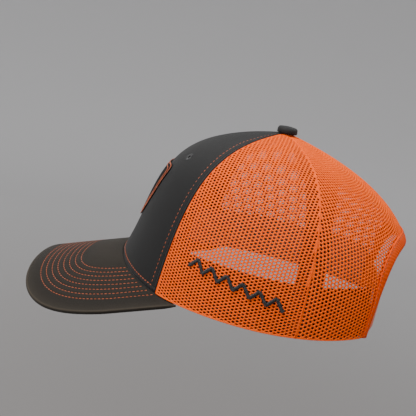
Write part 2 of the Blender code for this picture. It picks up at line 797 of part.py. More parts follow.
def build():
    clear_scene()
    shell = make_collection("trucker_cap")
    helpers = make_collection("cutters", helper=True)
    twill = make_material("charcoal_twill", TWILL_GREY, 0.85)
    visor_cloth = make_material("visor_twill", VISOR_GREY, 0.85)
    net = make_material("polyester_net", NET_ORANGE, 0.6)
    buckram = make_material("fused_buckram", BUCKRAM_WHITE, 0.9)
    tape = make_material("lining_tape", LINING_BLACK, 0.85)
    sweat = make_material("sweatband_cloth", LINING_BLACK, 0.9)
    orange_thread = make_material("orange_binding", THREAD_ORANGE, 0.6)
    black_thread = make_material("black_thread", THREAD_BLACK, 0.45)
    grey_thread = make_material("grey_thread", TWILL_GREY, 0.5)
    board = make_material("visor_board_plastic", BOARD_WHITE, 0.5)
    plastic = make_material("snap_plastic", PLASTIC_ORANGE, 0.4)
    metal = make_material("button_steel", STEEL, 0.35, 1.0)

    build_crown(shell, twill, net, buckram, tape)
    build_sweatband(shell, sweat)
    build_arch_binding(shell, orange_thread)
    build_visor(shell, visor_cloth, board)
    build_button(shell, twill, metal)
    build_straps(shell, helpers, plastic)
    build_eyelets(shell, helpers, grey_thread)
    build_badge(shell, black_thread, orange_thread)
    build_motif(shell, black_thread)


build()
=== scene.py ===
"""The looks of a six-panel trucker cap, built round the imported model, in metres.

+Z is up, -Y is the front and +X is the wearer's left. Every crown piece follows the same surface as the
CAD: a meridian curve swept round the head opening. The visor is a sheet rolled about a tilted axis.
"""

import json
import math

import bpy
import numpy as np
from mathutils import Matrix, Vector


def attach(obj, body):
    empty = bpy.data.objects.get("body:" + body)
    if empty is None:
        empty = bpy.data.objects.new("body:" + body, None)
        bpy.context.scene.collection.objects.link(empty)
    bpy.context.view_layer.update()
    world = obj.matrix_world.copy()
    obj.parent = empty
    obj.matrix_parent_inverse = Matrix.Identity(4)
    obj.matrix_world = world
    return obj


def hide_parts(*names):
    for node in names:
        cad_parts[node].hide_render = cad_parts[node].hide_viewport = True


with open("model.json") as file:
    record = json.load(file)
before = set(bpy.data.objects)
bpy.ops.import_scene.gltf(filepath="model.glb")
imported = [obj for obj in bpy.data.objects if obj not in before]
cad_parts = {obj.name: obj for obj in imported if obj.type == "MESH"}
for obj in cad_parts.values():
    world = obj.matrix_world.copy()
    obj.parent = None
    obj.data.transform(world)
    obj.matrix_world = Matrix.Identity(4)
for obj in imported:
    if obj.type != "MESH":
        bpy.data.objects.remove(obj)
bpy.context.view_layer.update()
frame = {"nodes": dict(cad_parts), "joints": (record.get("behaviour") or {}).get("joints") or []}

MM = 0.001
SIDES = (("left", False), ("right", True))

# ---------------------------------------------------------------- crown and visor surfaces

HALF_WIDTH = 84.2 * MM
HALF_LENGTH = 101.6 * MM
CROWN_HEIGHT = 115.0 * MM
PEAK_Y = -4.4 * MM
BACK_LIFT = 5.2 * MM
LOWER_REACH = (0.79, 1.00, 1.01)
LOWER_RISE = (0.54, 0.77, 0.53)
UPPER_REACH = (0.96, 0.64, 0.90)
UPPER_RISE = (0.86, 0.91, 0.79)

FRONT_SEAM = (54.2, 60.0, 1.45)
SIDE_SEAM = (110.8, 120.0, 1.69)
FRONT_CENTRE = (0.0, 0.0, 1.0)
BACK_CENTRE = (180.0, 180.0, 1.0)
PEAK_HOLE_RADIUS = 4.0 * MM

ARCH_HALF_ANGLE = 38.5
ARCH_TOP = 0.39
ARCH_SQUARENESS = 0.66

# Round lengths of cloth that stand for one unit of rise, of angle, or of the way across the back panel.
# The true lengths vary over the crown, so a distance worked out with them is a nominal one.
CLOTH_PER_RISE = 150 * MM
ARCH_CLOTH_PER_RISE = 120 * MM
SEAM_CLOTH_PER_RISE = 160 * MM
ARCH_CLOTH_PER_RADIAN = 95 * MM
BACK_PANEL_WIDTH = 110 * MM

VISOR_ROLL_RADIUS = 118.0 * MM
VISOR_TILT = math.radians(20.5)
VISOR_HALF_WIDTH = 85.4 * MM
VISOR_LENGTH = 68.7 * MM
VISOR_END = -53.5 * MM
VISOR_FRONT_SQUARENESS = 4.9
VISOR_SIDE_SQUARENESS = 3.2
VISOR_SPAN = 65.4
VISOR_END_PHASE = 7.0
VISOR_LIFT_ANGLE = 65.4


def lerp(a, b, t):
    return a + (b - a) * t


def circle(count):
    """Evenly spaced angles once round."""
    return np.linspace(0, 2 * math.pi, count, endpoint=False)


def steps_along(points):
    return np.linalg.norm(np.diff(points, axis=0), axis=1)


def lengths_along(points):
    """The length of a line of points up to each of them."""
    return np.concatenate([[0], np.cumsum(steps_along(points))])


def unit(vectors):
    return vectors / np.linalg.norm(vectors, axis=-1, keepdims=True)


def bell(value, middle, width):
    return np.exp(-((value - middle) / width) ** 2)


def highest(fits, low, high, rounds):
    """The highest value from `low` to `high` that still fits, found by halving."""
    for _ in range(rounds):
        middle = (low + high) / 2
        inside = fits(middle)
        low, high = np.where(inside, middle, low), np.where(inside, high, middle)
    return low


def mirror(points):
    return np.asarray(points) * np.array([-1.0, 1.0, 1.0])


def on_side(mirrored, *arrays):
    """Arrays made for the wearer's left, mirrored when they are for the right."""
    return [mirror(array) if mirrored else array for array in arrays]


def add_object(name, data):
    obj = bpy.data.objects.new(name, data)
    bpy.context.scene.collection.objects.link(obj)
    return obj


def around(values, angle):
    """One of three values (front, side, back) blended smoothly for the direction `angle`."""
    front, side, back = values
    mean = (front + 2 * side + back) / 4
    second = (front - 2 * side + back) / 4
    return mean + (front - back) / 2 * np.cos(angle) + second * np.cos(2 * angle)


def visor_drop(x):
    return np.sqrt(np.maximum(VISOR_ROLL_RADIUS**2 - x * x, 1e-9)) - VISOR_ROLL_RADIUS


def visor_forward(x, y):
    return (-(y + HALF_LENGTH) - visor_drop(x) * math.sin(VISOR_TILT)) / math.cos(VISOR_TILT)


def visor_rise(x, y):
    return -visor_forward(x, y) * math.sin(VISOR_TILT) + visor_drop(x) * math.cos(VISOR_TILT)


def opening(angle):
    return HALF_WIDTH * np.sin(angle), -HALF_LENGTH * np.cos(angle)


VISOR_LIFT = -float(visor_rise(*opening(math.radians(VISOR_LIFT_ANGLE))))


def rim(angle):
    """The lower edge of the crown: level at the sides, arched over the visor, lifted a little behind."""
    x, y = opening(angle)
    over_visor = np.cos(angle) > math.cos(math.radians(VISOR_LIFT_ANGLE))
    z = np.where(over_visor, np.maximum(visor_rise(x, y) + VISOR_LIFT, 0), 0)
    turned = np.abs((angle + math.pi) % (2 * math.pi) - math.pi)
    behind = np.clip((turned - math.pi / 2) / (math.pi / 3), 0, 2)
    return x, y, z + BACK_LIFT * behind**2


def crown_face(angle, rise):
    """A point on the outer face of the crown: rise goes from 0 at the lower edge to 1 at the peak."""
    angle, rise = np.broadcast_arrays(np.asarray(angle, float), np.asarray(rise, float))
    x, y, z = rim(angle)
    fall = 1 - rise
    lower = 3 * fall * fall * rise
    upper = 3 * fall * rise * rise
    reach = fall**3 + lower * around(LOWER_REACH, angle) + upper * around(UPPER_REACH, angle)
    height = lower * around(LOWER_RISE, angle) + upper * around(UPPER_RISE, angle) + rise**3
    return np.stack([x * reach, PEAK_Y + (y - PEAK_Y) * reach, z * fall**3 + CROWN_HEIGHT * height], -1)


def crown_normal(angle, rise):
    step = 1e-3
    across = crown_face(angle + step, rise) - crown_face(angle - step, rise)
    along = crown_face(angle, rise + step) - crown_face(angle, rise - step)
    return unit(np.cross(across, along))


def crown(angle, rise, depth=0.0):
    """A point `depth` inside the outer face of the crown."""
    angle, rise = np.broadcast_arrays(np.asarray(angle, float), np.asarray(rise, float))
    depth = np.broadcast_to(depth, angle.shape)[..., None]
    return crown_face(angle, rise) - crown_normal(angle, rise) * depth


def axis_distance(angle, rise):
    point = crown_face(angle, rise)
    return np.hypot(point[..., 0], point[..., 1] - PEAK_Y)


def rise_at_radius(angle, radius):
    rises = np.linspace(0.7, 1, 301)
    return float(np.interp(-radius, -axis_distance(angle, rises), rises))


def rise_at_length(angle, length):
    """The rise reached after going `length` up the crown from its lower edge."""
    rises = np.linspace(0, 1, 401)
    return np.interp(length, lengths_along(crown_face(angle, rises)), rises)


def seam_angle(seam, rise):
    low, high, power = seam
    return np.radians(low + (high - low) * np.maximum(rise, 0) ** power)


def arch_share(phase):
    """Where the arch edge lies, as a share of the way across the back panel."""
    return 1 - ARCH_HALF_ANGLE / (180.0 - SIDE_SEAM[0]) * np.maximum(np.cos(phase), 0.0) ** ARCH_SQUARENESS


def arch_rise(phase):
    return ARCH_TOP * np.sin(phase)


def arch_line(phase):
    """(angle, rise) along the arch edge on the wearer's left."""
    rise = arch_rise(phase)
    return lerp(seam_angle(SIDE_SEAM, rise), math.pi, arch_share(phase)), rise


def arch_offset(phase, distance):
    """(angle, rise) a distance into the crown from the arch edge, square to the edge."""
    step = 0.01
    scale = np.stack([axis_distance(*arch_line(phase)), np.full_like(phase, ARCH_CLOTH_PER_RISE)], -1)
    here = np.stack(arch_line(phase), -1)
    ahead = np.stack(arch_line(np.minimum(phase + step, math.pi / 2)), -1)
    behind = np.stack(arch_line(np.maximum(phase - step, 0.0)), -1)
    along = (ahead - behind) * scale
    along[phase < 1e-6] = (0.0, 1.0)
    along[phase > math.pi / 2 - 1e-6] = (1.0, 0.0)
    square = unit(np.stack([-along[..., 1], along[..., 0]], -1))
    moved = here + square * np.asarray(distance)[..., None] / scale
    return moved[..., 0], moved[..., 1]


def visor_point(across, forward, depth=0.0):
    """A point of the visor, from distances measured on its unrolled sheet."""
    radius = VISOR_ROLL_RADIUS - depth
    turn = across / VISOR_ROLL_RADIUS
    drop = radius * np.cos(turn) - VISOR_ROLL_RADIUS
    return np.stack([
        radius * np.sin(turn),
        -HALF_LENGTH - forward * math.cos(VISOR_TILT) - drop * math.sin(VISOR_TILT),
        VISOR_LIFT - forward * math.sin(VISOR_TILT) + drop * math.cos(VISOR_TILT),
    ], -1)


def visor_root(clearance, angle):
    """The edge of the visor against the crown, on the unrolled sheet."""
    grow = 1 + clearance / HALF_WIDTH
    x, y = opening(angle)
    x, y = x * grow, y * grow
    return np.stack([VISOR_ROLL_RADIUS * np.arcsin(x / VISOR_ROLL_RADIUS), visor_forward(x, y)], -1)


# ---------------------------------------------------------------- camera, light and stage

CAMERA_PLACE = Vector((0.49990, 0.03012, 0.17291))
CAMERA_AXES = ((-0.20074, 0.95722, 0.20839), (-0.19830, -0.24802, 0.94824), (0.95937, 0.14902, 0.23960))
CAMERA_LENS = 61.78


def make_camera():
    data = bpy.data.cameras.new("camera")
    data.sensor_width = 36.0
    data.lens = CAMERA_LENS
    data.clip_start = 0.01
    data.clip_end = 50.0
    camera = add_object("camera", data)
    turn = Matrix(CAMERA_AXES).transposed().to_4x4()
    camera.matrix_world = Matrix.Translation(CAMERA_PLACE) @ turn
    bpy.context.scene.camera = camera


def area_light(name, place, aim, size, power, colour):
    data = bpy.data.lights.new(name, "AREA")
    data.shape = "DISK"
    data.size = size
    data.energy = power
    data.color = colour
    light = add_object(name, data)
    light.location = place
    light.rotation_mode = "QUATERNION"
    light.rotation_quaternion = (Vector(aim) - Vector(place)).to_track_quat("-Z", "Y")


FLOOR_Z = -0.36
FLOOR_RADIUS = 1.5
WALL_RADIUS = 2.6
WALL_TOP = 2.4
# The near colour is painted shade: the floor is darker round the cap and fades to the pale far colour between
# the two fade radii.
STAGE_NEAR_SHADE = (0.19, 0.182, 0.179, 1)
STAGE_FAR = (0.50, 0.495, 0.50, 1)
STAGE_SHADE_FADE = (0.2, 2.1)
LIGHT_AIM = (0, 0, 0.04)


def make_stage():
    """A pale floor that curves up into a wall all round, painted darker towards its middle as shade."""
    bend = WALL_RADIUS - FLOOR_RADIUS
    profile = [(0.0, FLOOR_Z), (0.5, FLOOR_Z), (FLOOR_RADIUS, FLOOR_Z)]
    for step in range(1, 13):
        turn = step / 12 * math.pi / 2
        profile.append((FLOOR_RADIUS + bend * math.sin(turn), FLOOR_Z + bend * (1 - math.cos(turn))))
    profile.append((WALL_RADIUS, WALL_TOP))
    count = 72
    points = [(r * math.cos(a), r * math.sin(a), z) for r, z in profile for a in circle(count)]
    faces = []
    for i in range(len(profile) - 1):
        for j in range(count):
            k = (j + 1) % count
            faces.append((i * count + j, (i + 1) * count + j, (i + 1) * count + k, i * count + k))
    mesh = bpy.data.meshes.new("stage")
    mesh.from_pydata(points, [], faces)
    mesh.shade_smooth()
    material = bpy.data.materials.new("stage_paper_painted_shade")
    material.use_nodes = True
    tree = material.node_tree
    shader = tree.nodes["Principled BSDF"]
    place = tree.nodes.new("ShaderNodeTexCoord").outputs["Object"]
    level = tree.nodes.new("ShaderNodeVectorMath")
    level.operation = "MULTIPLY"
    level.inputs[1].default_value = (1, 1, 0)
    reach = tree.nodes.new("ShaderNodeVectorMath")
    reach.operation = "LENGTH"
    share = tree.nodes.new("ShaderNodeMapRange")
    share.interpolation_type = "SMOOTHSTEP"
    share.inputs["From Min"].default_value = STAGE_SHADE_FADE[0]
    share.inputs["From Max"].default_value = STAGE_SHADE_FADE[1]
    # Painted shade: this mix darkens the floor's colour towards its middle.
    paper = tree.nodes.new("ShaderNodeMix")
    paper.data_type = "RGBA"
    paper.inputs[6].default_value = STAGE_NEAR_SHADE
    paper.inputs[7].default_value = STAGE_FAR
    for source, target in ((place, level.inputs[0]), (level.outputs["Vector"], reach.inputs[0]),
                           (reach.outputs["Value"], share.inputs["Value"]),
                           (share.outputs["Result"], paper.inputs[0]),
                           (paper.outputs[2], shader.inputs["Base Color"])):
        tree.links.new(source, target)
    shader.inputs["Roughness"].default_value = 0.9
    shader.inputs["Specular IOR Level"].default_value = 0.1
    mesh.materials.append(material)
    stage = add_object("stage", mesh)


def make_light():
    world = bpy.data.worlds.new("studio")
    world.use_nodes = True
    background = world.node_tree.nodes["Background"]
    background.inputs["Color"].default_value = (0.95, 0.97, 1.0, 1)
    background.inputs["Strength"].default_value = 0.55
    bpy.context.scene.world = world
    area_light("key", (0.55, -0.75, 1.35), LIGHT_AIM, 1.1, 31.0, (1.0, 0.99, 0.97))
    area_light("top", (-0.1, 0.35, 1.5), LIGHT_AIM, 1.2, 18.0, (1.0, 0.99, 0.98))
    area_light("fill", (1.5, -0.45, 0.45), LIGHT_AIM, 1.0, 9.5, (0.98, 0.99, 1.0))


make_camera()
make_stage()
make_light()

# ---------------------------------------------------------------- materials


class Nodes:
    """A material's node tree, with short calls to add and join nodes."""

    def __init__(self, name, roughness, sheen=0.0, specular=0.5, metallic=0.0, sheen_roughness=0.5):
        self.material = bpy.data.materials.new(name)
        self.material.use_nodes = True
        self.tree = self.material.node_tree
        self.shader = self.tree.nodes["Principled BSDF"]
        self.shader.inputs["Roughness"].default_value = roughness
        self.shader.inputs["Sheen Weight"].default_value = sheen
        self.shader.inputs["Sheen Roughness"].default_value = sheen_roughness
        self.shader.inputs["Specular IOR Level"].default_value = specular
        self.shader.inputs["Metallic"].default_value = metallic
        self.flat = self.add("ShaderNodeUVMap", uv_map="flat").outputs["UV"]
        self.place = self.add("ShaderNodeTexCoord").outputs["Object"]

    def give(self, socket, value):
        """Joins an input to another node's output, or sets it to a constant."""
        if isinstance(value, bpy.types.NodeSocket):
            self.tree.links.new(value, socket)
        else:
            socket.default_value = value

    def add(self, kind, values=(), **settings):
        node = self.tree.nodes.new(kind)
        for key, value in settings.items():
            setattr(node, key, value)
        for key, value in dict(values).items():
            self.give(node.inputs[key], value)
        return node

    def noise(self, where, scale, detail=3.0, rough=0.55):
        node = self.add("ShaderNodeTexNoise", {"Vector": where, "Scale": scale, "Detail": detail,
                                               "Roughness": rough})
        return node.outputs["Fac"]

    def bands(self, where, period, turn=0.0, distortion=0.0, profile="SIN"):
        """Parallel ridges a `period` apart in the units of `where`, turned by an angle in degrees."""
        turned = self.add("ShaderNodeMapping", {"Vector": where, "Rotation": (0, 0, math.radians(turn))})
        scale = 2 * math.pi / (20 * period)
        node = self.add("ShaderNodeTexWave", {
            "Vector": turned.outputs["Vector"], "Scale": scale, "Distortion": distortion,
            "Detail": 1.0, "Detail Scale": 1.5}, wave_type="BANDS", bands_direction="X", wave_profile=profile)
        return node.outputs["Fac"]

    def maths(self, operation, first, second=0.5, third=0.5):
        node = self.add("ShaderNodeMath", operation=operation)
        for socket, value in zip(node.inputs, (first, second, third)):
            self.give(socket, value)
        return node.outputs[0]

    def times(self, first, second):
        return self.maths("MULTIPLY", first, second)

    def scaled(self, value, factor, offset):
        return self.maths("MULTIPLY_ADD", value, factor, offset)

    def spread(self, value, low, high):
        """`value` from `low` to `high` stretched to 0 to 1."""
        node = self.add("ShaderNodeMapRange", {"Value": value, "From Min": low, "From Max": high})
        return node.outputs["Result"]

    def clouds(self, where, scale, detail=3.0, rough=0.55, low=0.3, high=0.7):
        """Noise with its middle values, from `low` to `high`, stretched to 0 to 1."""
        return self.spread(self.noise(where, scale, detail, rough), low, high)

    def mix(self, share, first, second):
        node = self.add("ShaderNodeMix", data_type="RGBA")
        for index, value in ((0, share), (6, first), (7, second)):
            self.give(node.inputs[index], (*value, 1.0) if isinstance(value, tuple) else value)
        return node.outputs[2]

    def tones(self, share, colour, low, high):
        """From `low` to `high` times the colour."""
        return self.mix(share, shade(colour, low), shade(colour, high))

    def wear(self):
        return self.add("ShaderNodeAttribute", attribute_name="wear").outputs["Fac"]

    def finish(self, colour, rough=None, height=None, bump=0.3, distance=0.1 * MM):
        self.tree.links.new(colour, self.shader.inputs["Base Color"])
        if rough is not None:
            self.tree.links.new(rough, self.shader.inputs["Roughness"])
        if height is not None:
            node = self.add("ShaderNodeBump", {"Height": height, "Strength": bump, "Distance": distance})
            self.tree.links.new(node.outputs["Normal"], self.shader.inputs["Normal"])
        return self.material


def shade(colour, factor):
    return tuple(min(c * factor, 1.0) for c in colour)


def twill(name, colour, faded, wale=0.55, mottling=0.12, sheen=0.06):
    """Diagonal ribbed cotton, with uneven dye, paler where the attribute `wear` is high: fading, and on the
    visor's edge a painted highlight too.
    """
    n = Nodes(name, 0.85, sheen=sheen, specular=0.16)
    ribs = n.bands(n.flat, wale, 62, distortion=0.6)
    threads = n.bands(n.flat, wale * 0.7, -18, distortion=0.8)
    weave = n.scaled(threads, 0.35, n.times(ribs, 0.65))
    cloud = n.clouds(n.flat, mottling, 4.0, 0.6, low=0.32, high=0.68)
    slub = n.clouds(n.flat, 1.6, 2.0, 0.7)
    base = n.tones(cloud, colour, 0.86, 1.16)
    base = n.mix(n.times(slub, 0.35), base, shade(colour, 1.5))
    base = n.mix(n.times(weave, 0.45), shade(colour, 0.55), base)
    base = n.mix(n.times(n.wear(), n.scaled(slub, 0.5, 0.35)), base, faded)
    rough = n.spread(slub, -1.2, 1.35)
    height = n.scaled(slub, 0.35, weave)
    return n.finish(base, rough, height, 0.55, 0.16 * MM)


def net_cloth(name, colour):
    """Knitted polyester: filament ridges that lean both ways, a soft shine and a little uneven dye."""
    n = Nodes(name, 0.5, sheen=0.0, specular=0.10)
    left = n.bands(n.flat, 0.24, 63, distortion=1.2)
    right = n.bands(n.flat, 0.24, -63, distortion=1.2)
    yarn = n.maths("MAXIMUM", left, right)
    cloud = n.clouds(n.flat, 0.06, 4.0, 0.6)
    fleck = n.clouds(n.flat, 1.1, 3.0, 0.6, low=0.32, high=0.7)
    base = n.tones(cloud, colour, 0.90, 1.08)
    base = n.mix(n.times(fleck, 0.30), base, (colour[0], colour[1] * 1.3, colour[2] * 2.0))
    base = n.mix(n.scaled(yarn, 0.45, 0.55), shade(colour, 0.62), base)
    rough = n.scaled(fleck, 0.2, 0.38)
    return n.finish(base, rough, n.scaled(fleck, 0.4, yarn), 0.6, 0.12 * MM)


def plain_weave(name, colour, pitch, contrast=0.5, sheen=0.1, specular=0.3, roughness=0.85, turn=0):
    """Threads crossing one over one."""
    n = Nodes(name, roughness, sheen=sheen, specular=specular)
    warp = n.bands(n.flat, pitch, turn, distortion=0.5)
    weft = n.bands(n.flat, pitch, turn + 90, distortion=0.5)
    weave = n.maths("MAXIMUM", warp, weft)
    cloud = n.clouds(n.flat, 0.12, 4.0, 0.6)
    fleck = n.clouds(n.flat, 1.8, 2.0, 0.6)
    base = n.tones(cloud, colour, 0.85, 1.15)
    base = n.mix(n.times(fleck, 0.3), base, shade(colour, 1.5))
    base = n.mix(n.scaled(weave, contrast, 1 - contrast), shade(colour, 0.5), base)
    rough = n.scaled(fleck, 0.2, roughness - 0.12)
    return n.finish(base, rough, weave, 0.6, 0.15 * MM)


def thread(name, colour, roughness=0.42):
    """Twisted thread. On a stitch the flat map runs along its length and round its girth, in mm."""
    n = Nodes(name, roughness, sheen=0.3, specular=0.5, sheen_roughness=0.3)
    twist = n.bands(n.flat, 0.42, 38, distortion=0.4)
    tone = n.clouds(n.place, 420.0, 2.0, 0.6)
    fuzz = n.clouds(n.place, 4200.0, 2.0, 0.6)
    base = n.tones(tone, colour, 0.80, 1.15)
    base = n.mix(n.scaled(twist, 0.55, 0.45), shade(colour, 0.5), base)
    rough = n.scaled(fuzz, 0.25, roughness - 0.1)
    return n.finish(base, rough, n.scaled(fuzz, 0.3, twist), 0.6, 0.1 * MM)


def moulded(name, colour, roughness, specular=0.45):
    """Moulded plastic with a fine spark texture, faint flow marks and scattered scuffs."""
    n = Nodes(name, roughness, specular=specular)
    cloud = n.clouds(n.place, 60.0, 3.0, 0.55)
    spark = n.noise(n.place, 5200.0, 2.0, 0.6)
    scuff = n.clouds(n.place, 480.0, 4.0, 0.7, low=0.55, high=0.75)
    base = n.tones(cloud, colour, 0.90, 1.08)
    base = n.mix(n.times(scuff, 0.18), base, tuple(0.35 + 0.6 * c for c in colour))
    rough = n.scaled(scuff, 0.18, roughness)
    return n.finish(base, rough, n.scaled(scuff, -0.4, spark), 0.35, 0.06 * MM)


def steel(name):
    n = Nodes(name, 0.35, metallic=1.0)
    stretched = n.add("ShaderNodeMapping", {"Vector": n.place, "Scale": (300, 6000, 6000)}).outputs[0]
    brushed = n.noise(stretched, 1.0, 3.0)
    stain = n.clouds(n.place, 300.0, 3.0, low=0.35, high=0.65)
    base = n.mix(stain, (0.46, 0.46, 0.47), (0.62, 0.61, 0.60))
    rough = n.scaled(brushed, 0.3, 0.22)
    return n.finish(base, rough, brushed, 0.15, 0.04 * MM)


def satin(name, colour):
    """Close rows of embroidery thread laid side by side, in blocks that start at uneven places."""
    n = Nodes(name, 0.6, specular=0.12)
    laid = n.bands(n.flat, 0.42, 90, distortion=0.35)
    blocks = n.bands(n.flat, 3.4, 12, distortion=1.6)
    tone = n.clouds(n.flat, 0.5, 3.0, 0.6)
    base = n.tones(tone, colour, 0.75, 1.4)
    base = n.mix(n.scaled(laid, 0.6, 0.4), shade(colour, 0.4), base)
    rough = n.scaled(tone, 0.2, 0.55)
    height = n.scaled(n.maths("GREATER_THAN", blocks, 0.93), -0.4, laid)
    return n.finish(base, rough, height, 0.7, 0.12 * MM)


CHARCOAL = (0.0172, 0.0171, 0.0172)
CHARCOAL_FADED = (0.036, 0.0355, 0.035)
# The visor's pale colour serves both its fading and the painted highlight along its free edge.
VISOR_GREY = (0.0165, 0.0127, 0.0086)
VISOR_FADE_AND_HIGHLIGHT = (0.056, 0.044, 0.031)
ORANGE = (1.0, 0.115, 0.002)
THREAD_ORANGE = (0.43, 0.075, 0.010)
MATERIALS = {
    "charcoal_twill": twill("charcoal_twill", CHARCOAL, CHARCOAL_FADED),
    "visor_twill": twill("visor_twill", VISOR_GREY, VISOR_FADE_AND_HIGHLIGHT),
    "polyester_net": net_cloth("polyester_net", ORANGE),
    "buckram": plain_weave("buckram", (0.58, 0.57, 0.54), 0.9, 0.6),
    "lining_tape": plain_weave("lining_tape", (0.016, 0.016, 0.017), 0.45, 0.5),
    "sweatband_cloth": twill("sweatband_cloth", (0.014, 0.014, 0.015), (0.045, 0.045, 0.047), 0.7),
    "orange_binding": plain_weave("orange_binding", (0.78, 0.072, 0.002), 1.75, 0.85, sheen=0.0,
                                  specular=0.12, turn=45),
    "orange_thread": thread("orange_thread", THREAD_ORANGE),
    "black_thread": thread("black_thread", (0.010, 0.010, 0.011)),
    "grey_thread": thread("grey_thread", (0.022, 0.022, 0.023), 0.75),
    "visor_board_plastic": moulded("visor_board_plastic", (0.66, 0.66, 0.64), 0.5),
    "snap_plastic": moulded("snap_plastic", (0.80, 0.10, 0.005), 0.38),
    "button_steel": steel("button_steel"),
}

SATIN = satin("black_satin", (0.0085, 0.0085, 0.009))
LINING_TWILL = twill("sweatband_lining", (0.20, 0.187, 0.170), (0.27, 0.25, 0.235), 0.7)

# ---------------------------------------------------------------- mesh helpers


def make_mesh(name, points, faces, uv, slot, body="crown", wear=None, smooth=True):
    """A piece from arrays: points, faces that all have 3 or all have 4 corners, and a flat map in mm."""
    points = np.asarray(points, np.float32)
    faces = np.asarray(faces, np.int32)
    halves = [[0, 1, 2], [0, 2, 3]][:faces.shape[1] - 2]
    if sum(np.linalg.det(points[faces[:, half]].astype(float)).sum() for half in halves) < 0:
        faces = faces[:, ::-1]
    sides = faces.shape[1]
    mesh = bpy.data.meshes.new(name)
    mesh.vertices.add(len(points))
    mesh.vertices.foreach_set("co", points.ravel())
    mesh.loops.add(faces.size)
    mesh.loops.foreach_set("vertex_index", faces.ravel())
    mesh.polygons.add(len(faces))
    mesh.polygons.foreach_set("loop_start", np.arange(0, faces.size, sides, dtype=np.int32))
    mesh.polygons.foreach_set("use_smooth", np.full(len(faces), smooth))
    mesh.update(calc_edges=True)
    layer = mesh.uv_layers.new(name="flat")
    layer.data.foreach_set("uv", np.asarray(uv, np.float32)[faces.ravel()].ravel())
    if wear is not None:
        mesh.attributes.new("wear", "FLOAT", "POINT").data.foreach_set("value", np.asarray(wear, np.float32))
    mesh.materials.append(MATERIALS[slot])
    obj = add_object(name, mesh)
    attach(obj, body)
    return obj


def flat_map(grid):
    """Distances across and along a grid of points, in mm."""
    down = np.linalg.norm(np.diff(grid, axis=1), axis=2)
    across = np.linalg.norm(np.diff(grid, axis=0), axis=2)
    v = np.concatenate([np.zeros((grid.shape[0], 1)), np.cumsum(down, 1)], 1)
    u = np.concatenate([np.zeros((1, grid.shape[1])), np.cumsum(across, 0)], 0)
    u -= u[grid.shape[0] // 2]
    return np.stack([u, v], -1) / MM


def grid_faces(rows, columns, wrap=False):
    i, j = np.meshgrid(np.arange(rows if wrap else rows - 1), np.arange(columns - 1), indexing="ij")
    a = i * columns + j
    b = (i + 1) % rows * columns + j
    return np.stack([a, b, b + 1, a + 1], -1).reshape(-1, 4)


def shell(name, outer, inner, slot, wrap=False, wear=None, flat=None, **more):
    """A closed cloth piece between two grids of points."""
    outer, inner = np.asarray(outer), np.asarray(inner)
    rows, columns = outer.shape[:2]
    count = rows * columns
    top = grid_faces(rows, columns, wrap)
    faces = [top, top[:, ::-1] + count]
    rims = [np.arange(rows) * columns, np.arange(rows)[::-1] * columns + columns - 1]
    if not wrap:
        rims += [(rows - 1) * columns + np.arange(columns), np.arange(columns)[::-1]]
    for line in rims:
        if wrap:
            line = np.append(line, line[0])
        faces.append(np.stack([line[1:], line[:-1], line[:-1] + count, line[1:] + count], -1))
    uv = flat_map(outer) if flat is None else flat
    uv = np.concatenate([uv.reshape(-1, 2)] * 2)
    if wear is not None:
        wear = np.concatenate([np.ravel(wear)] * 2)
    return make_mesh(name, np.concatenate([outer.reshape(-1, 3), inner.reshape(-1, 3)]),
                     np.concatenate(faces), uv, slot, wear=wear, **more)


def tube(name, sections, slot, wear=None, closed=False, **more):
    """A closed piece through a row of closed sections, with its two ends capped by fans."""
    sections = np.asarray(sections, float)
    count, ring = sections.shape[:2]
    rounds = np.concatenate([sections, sections[:, :1]], 1)
    uv = flat_map(rounds)[:, :ring]
    i, j = np.meshgrid(np.arange(count if closed else count - 1), np.arange(ring), indexing="ij")
    a, b = i * ring + j, i * ring + (j + 1) % ring
    c, d = (i + 1) % count * ring + j, (i + 1) % count * ring + (j + 1) % ring
    faces = np.concatenate([np.stack([a, b, d], -1).reshape(-1, 3), np.stack([a, d, c], -1).reshape(-1, 3)])
    points, uv = sections.reshape(-1, 3), uv.reshape(-1, 2)
    if not closed:
        ends = np.stack([sections[0].mean(0), sections[-1].mean(0)])
        step = np.arange(ring)
        first = np.stack([np.full(ring, len(points)), (step + 1) % ring, step], -1)
        last = np.stack([np.full(ring, len(points) + 1), (count - 1) * ring + step,
                         (count - 1) * ring + (step + 1) % ring], -1)
        faces = np.concatenate([faces, first, last])
        points = np.concatenate([points, ends])
        uv = np.concatenate([uv, uv[:1], uv[-1:]])
    return make_mesh(name, points, faces, uv, slot, wear=wear, **more)


def thick_mesh(name, outer, inner, faces, flats, slot, wear=None, **more):
    """A closed piece from one layer of triangles laid out twice, with walls along all its open edges."""
    _, keep, index = np.unique(np.round(outer / 2e-6).astype(np.int64), axis=0, return_index=True,
                               return_inverse=True)
    faces = index.reshape(-1)[faces]
    outer, inner, flats = outer[keep], inner[keep], flats[keep]
    faces = faces[(faces[:, 0] != faces[:, 1]) & (faces[:, 1] != faces[:, 2]) & (faces[:, 2] != faces[:, 0])]
    sides = outer[faces[:, 1]] - outer[faces[:, 0]], outer[faces[:, 2]] - outer[faces[:, 0]]
    faces = faces[np.linalg.norm(np.cross(*sides), axis=1) > 1e-12]
    edges = np.concatenate([faces[:, [0, 1]], faces[:, [1, 2]], faces[:, [2, 0]]])
    keys = np.sort(edges, 1)
    keys = keys[:, 0] * len(outer) + keys[:, 1]
    _, first_use, uses = np.unique(keys, return_index=True, return_counts=True)
    border = edges[first_use[uses == 1]]
    count = len(outer)
    walls = [np.stack([border[:, 1], border[:, 0], border[:, 0] + count], -1),
             np.stack([border[:, 1], border[:, 0] + count, border[:, 1] + count], -1)]
    faces = np.concatenate([faces, faces[:, ::-1] + count, *walls])
    if wear is not None:
        wear = np.concatenate([wear[keep]] * 2)
    return make_mesh(name, np.concatenate([outer, inner]), faces, np.concatenate([flats, flats]), slot,
                     wear=wear, **more)


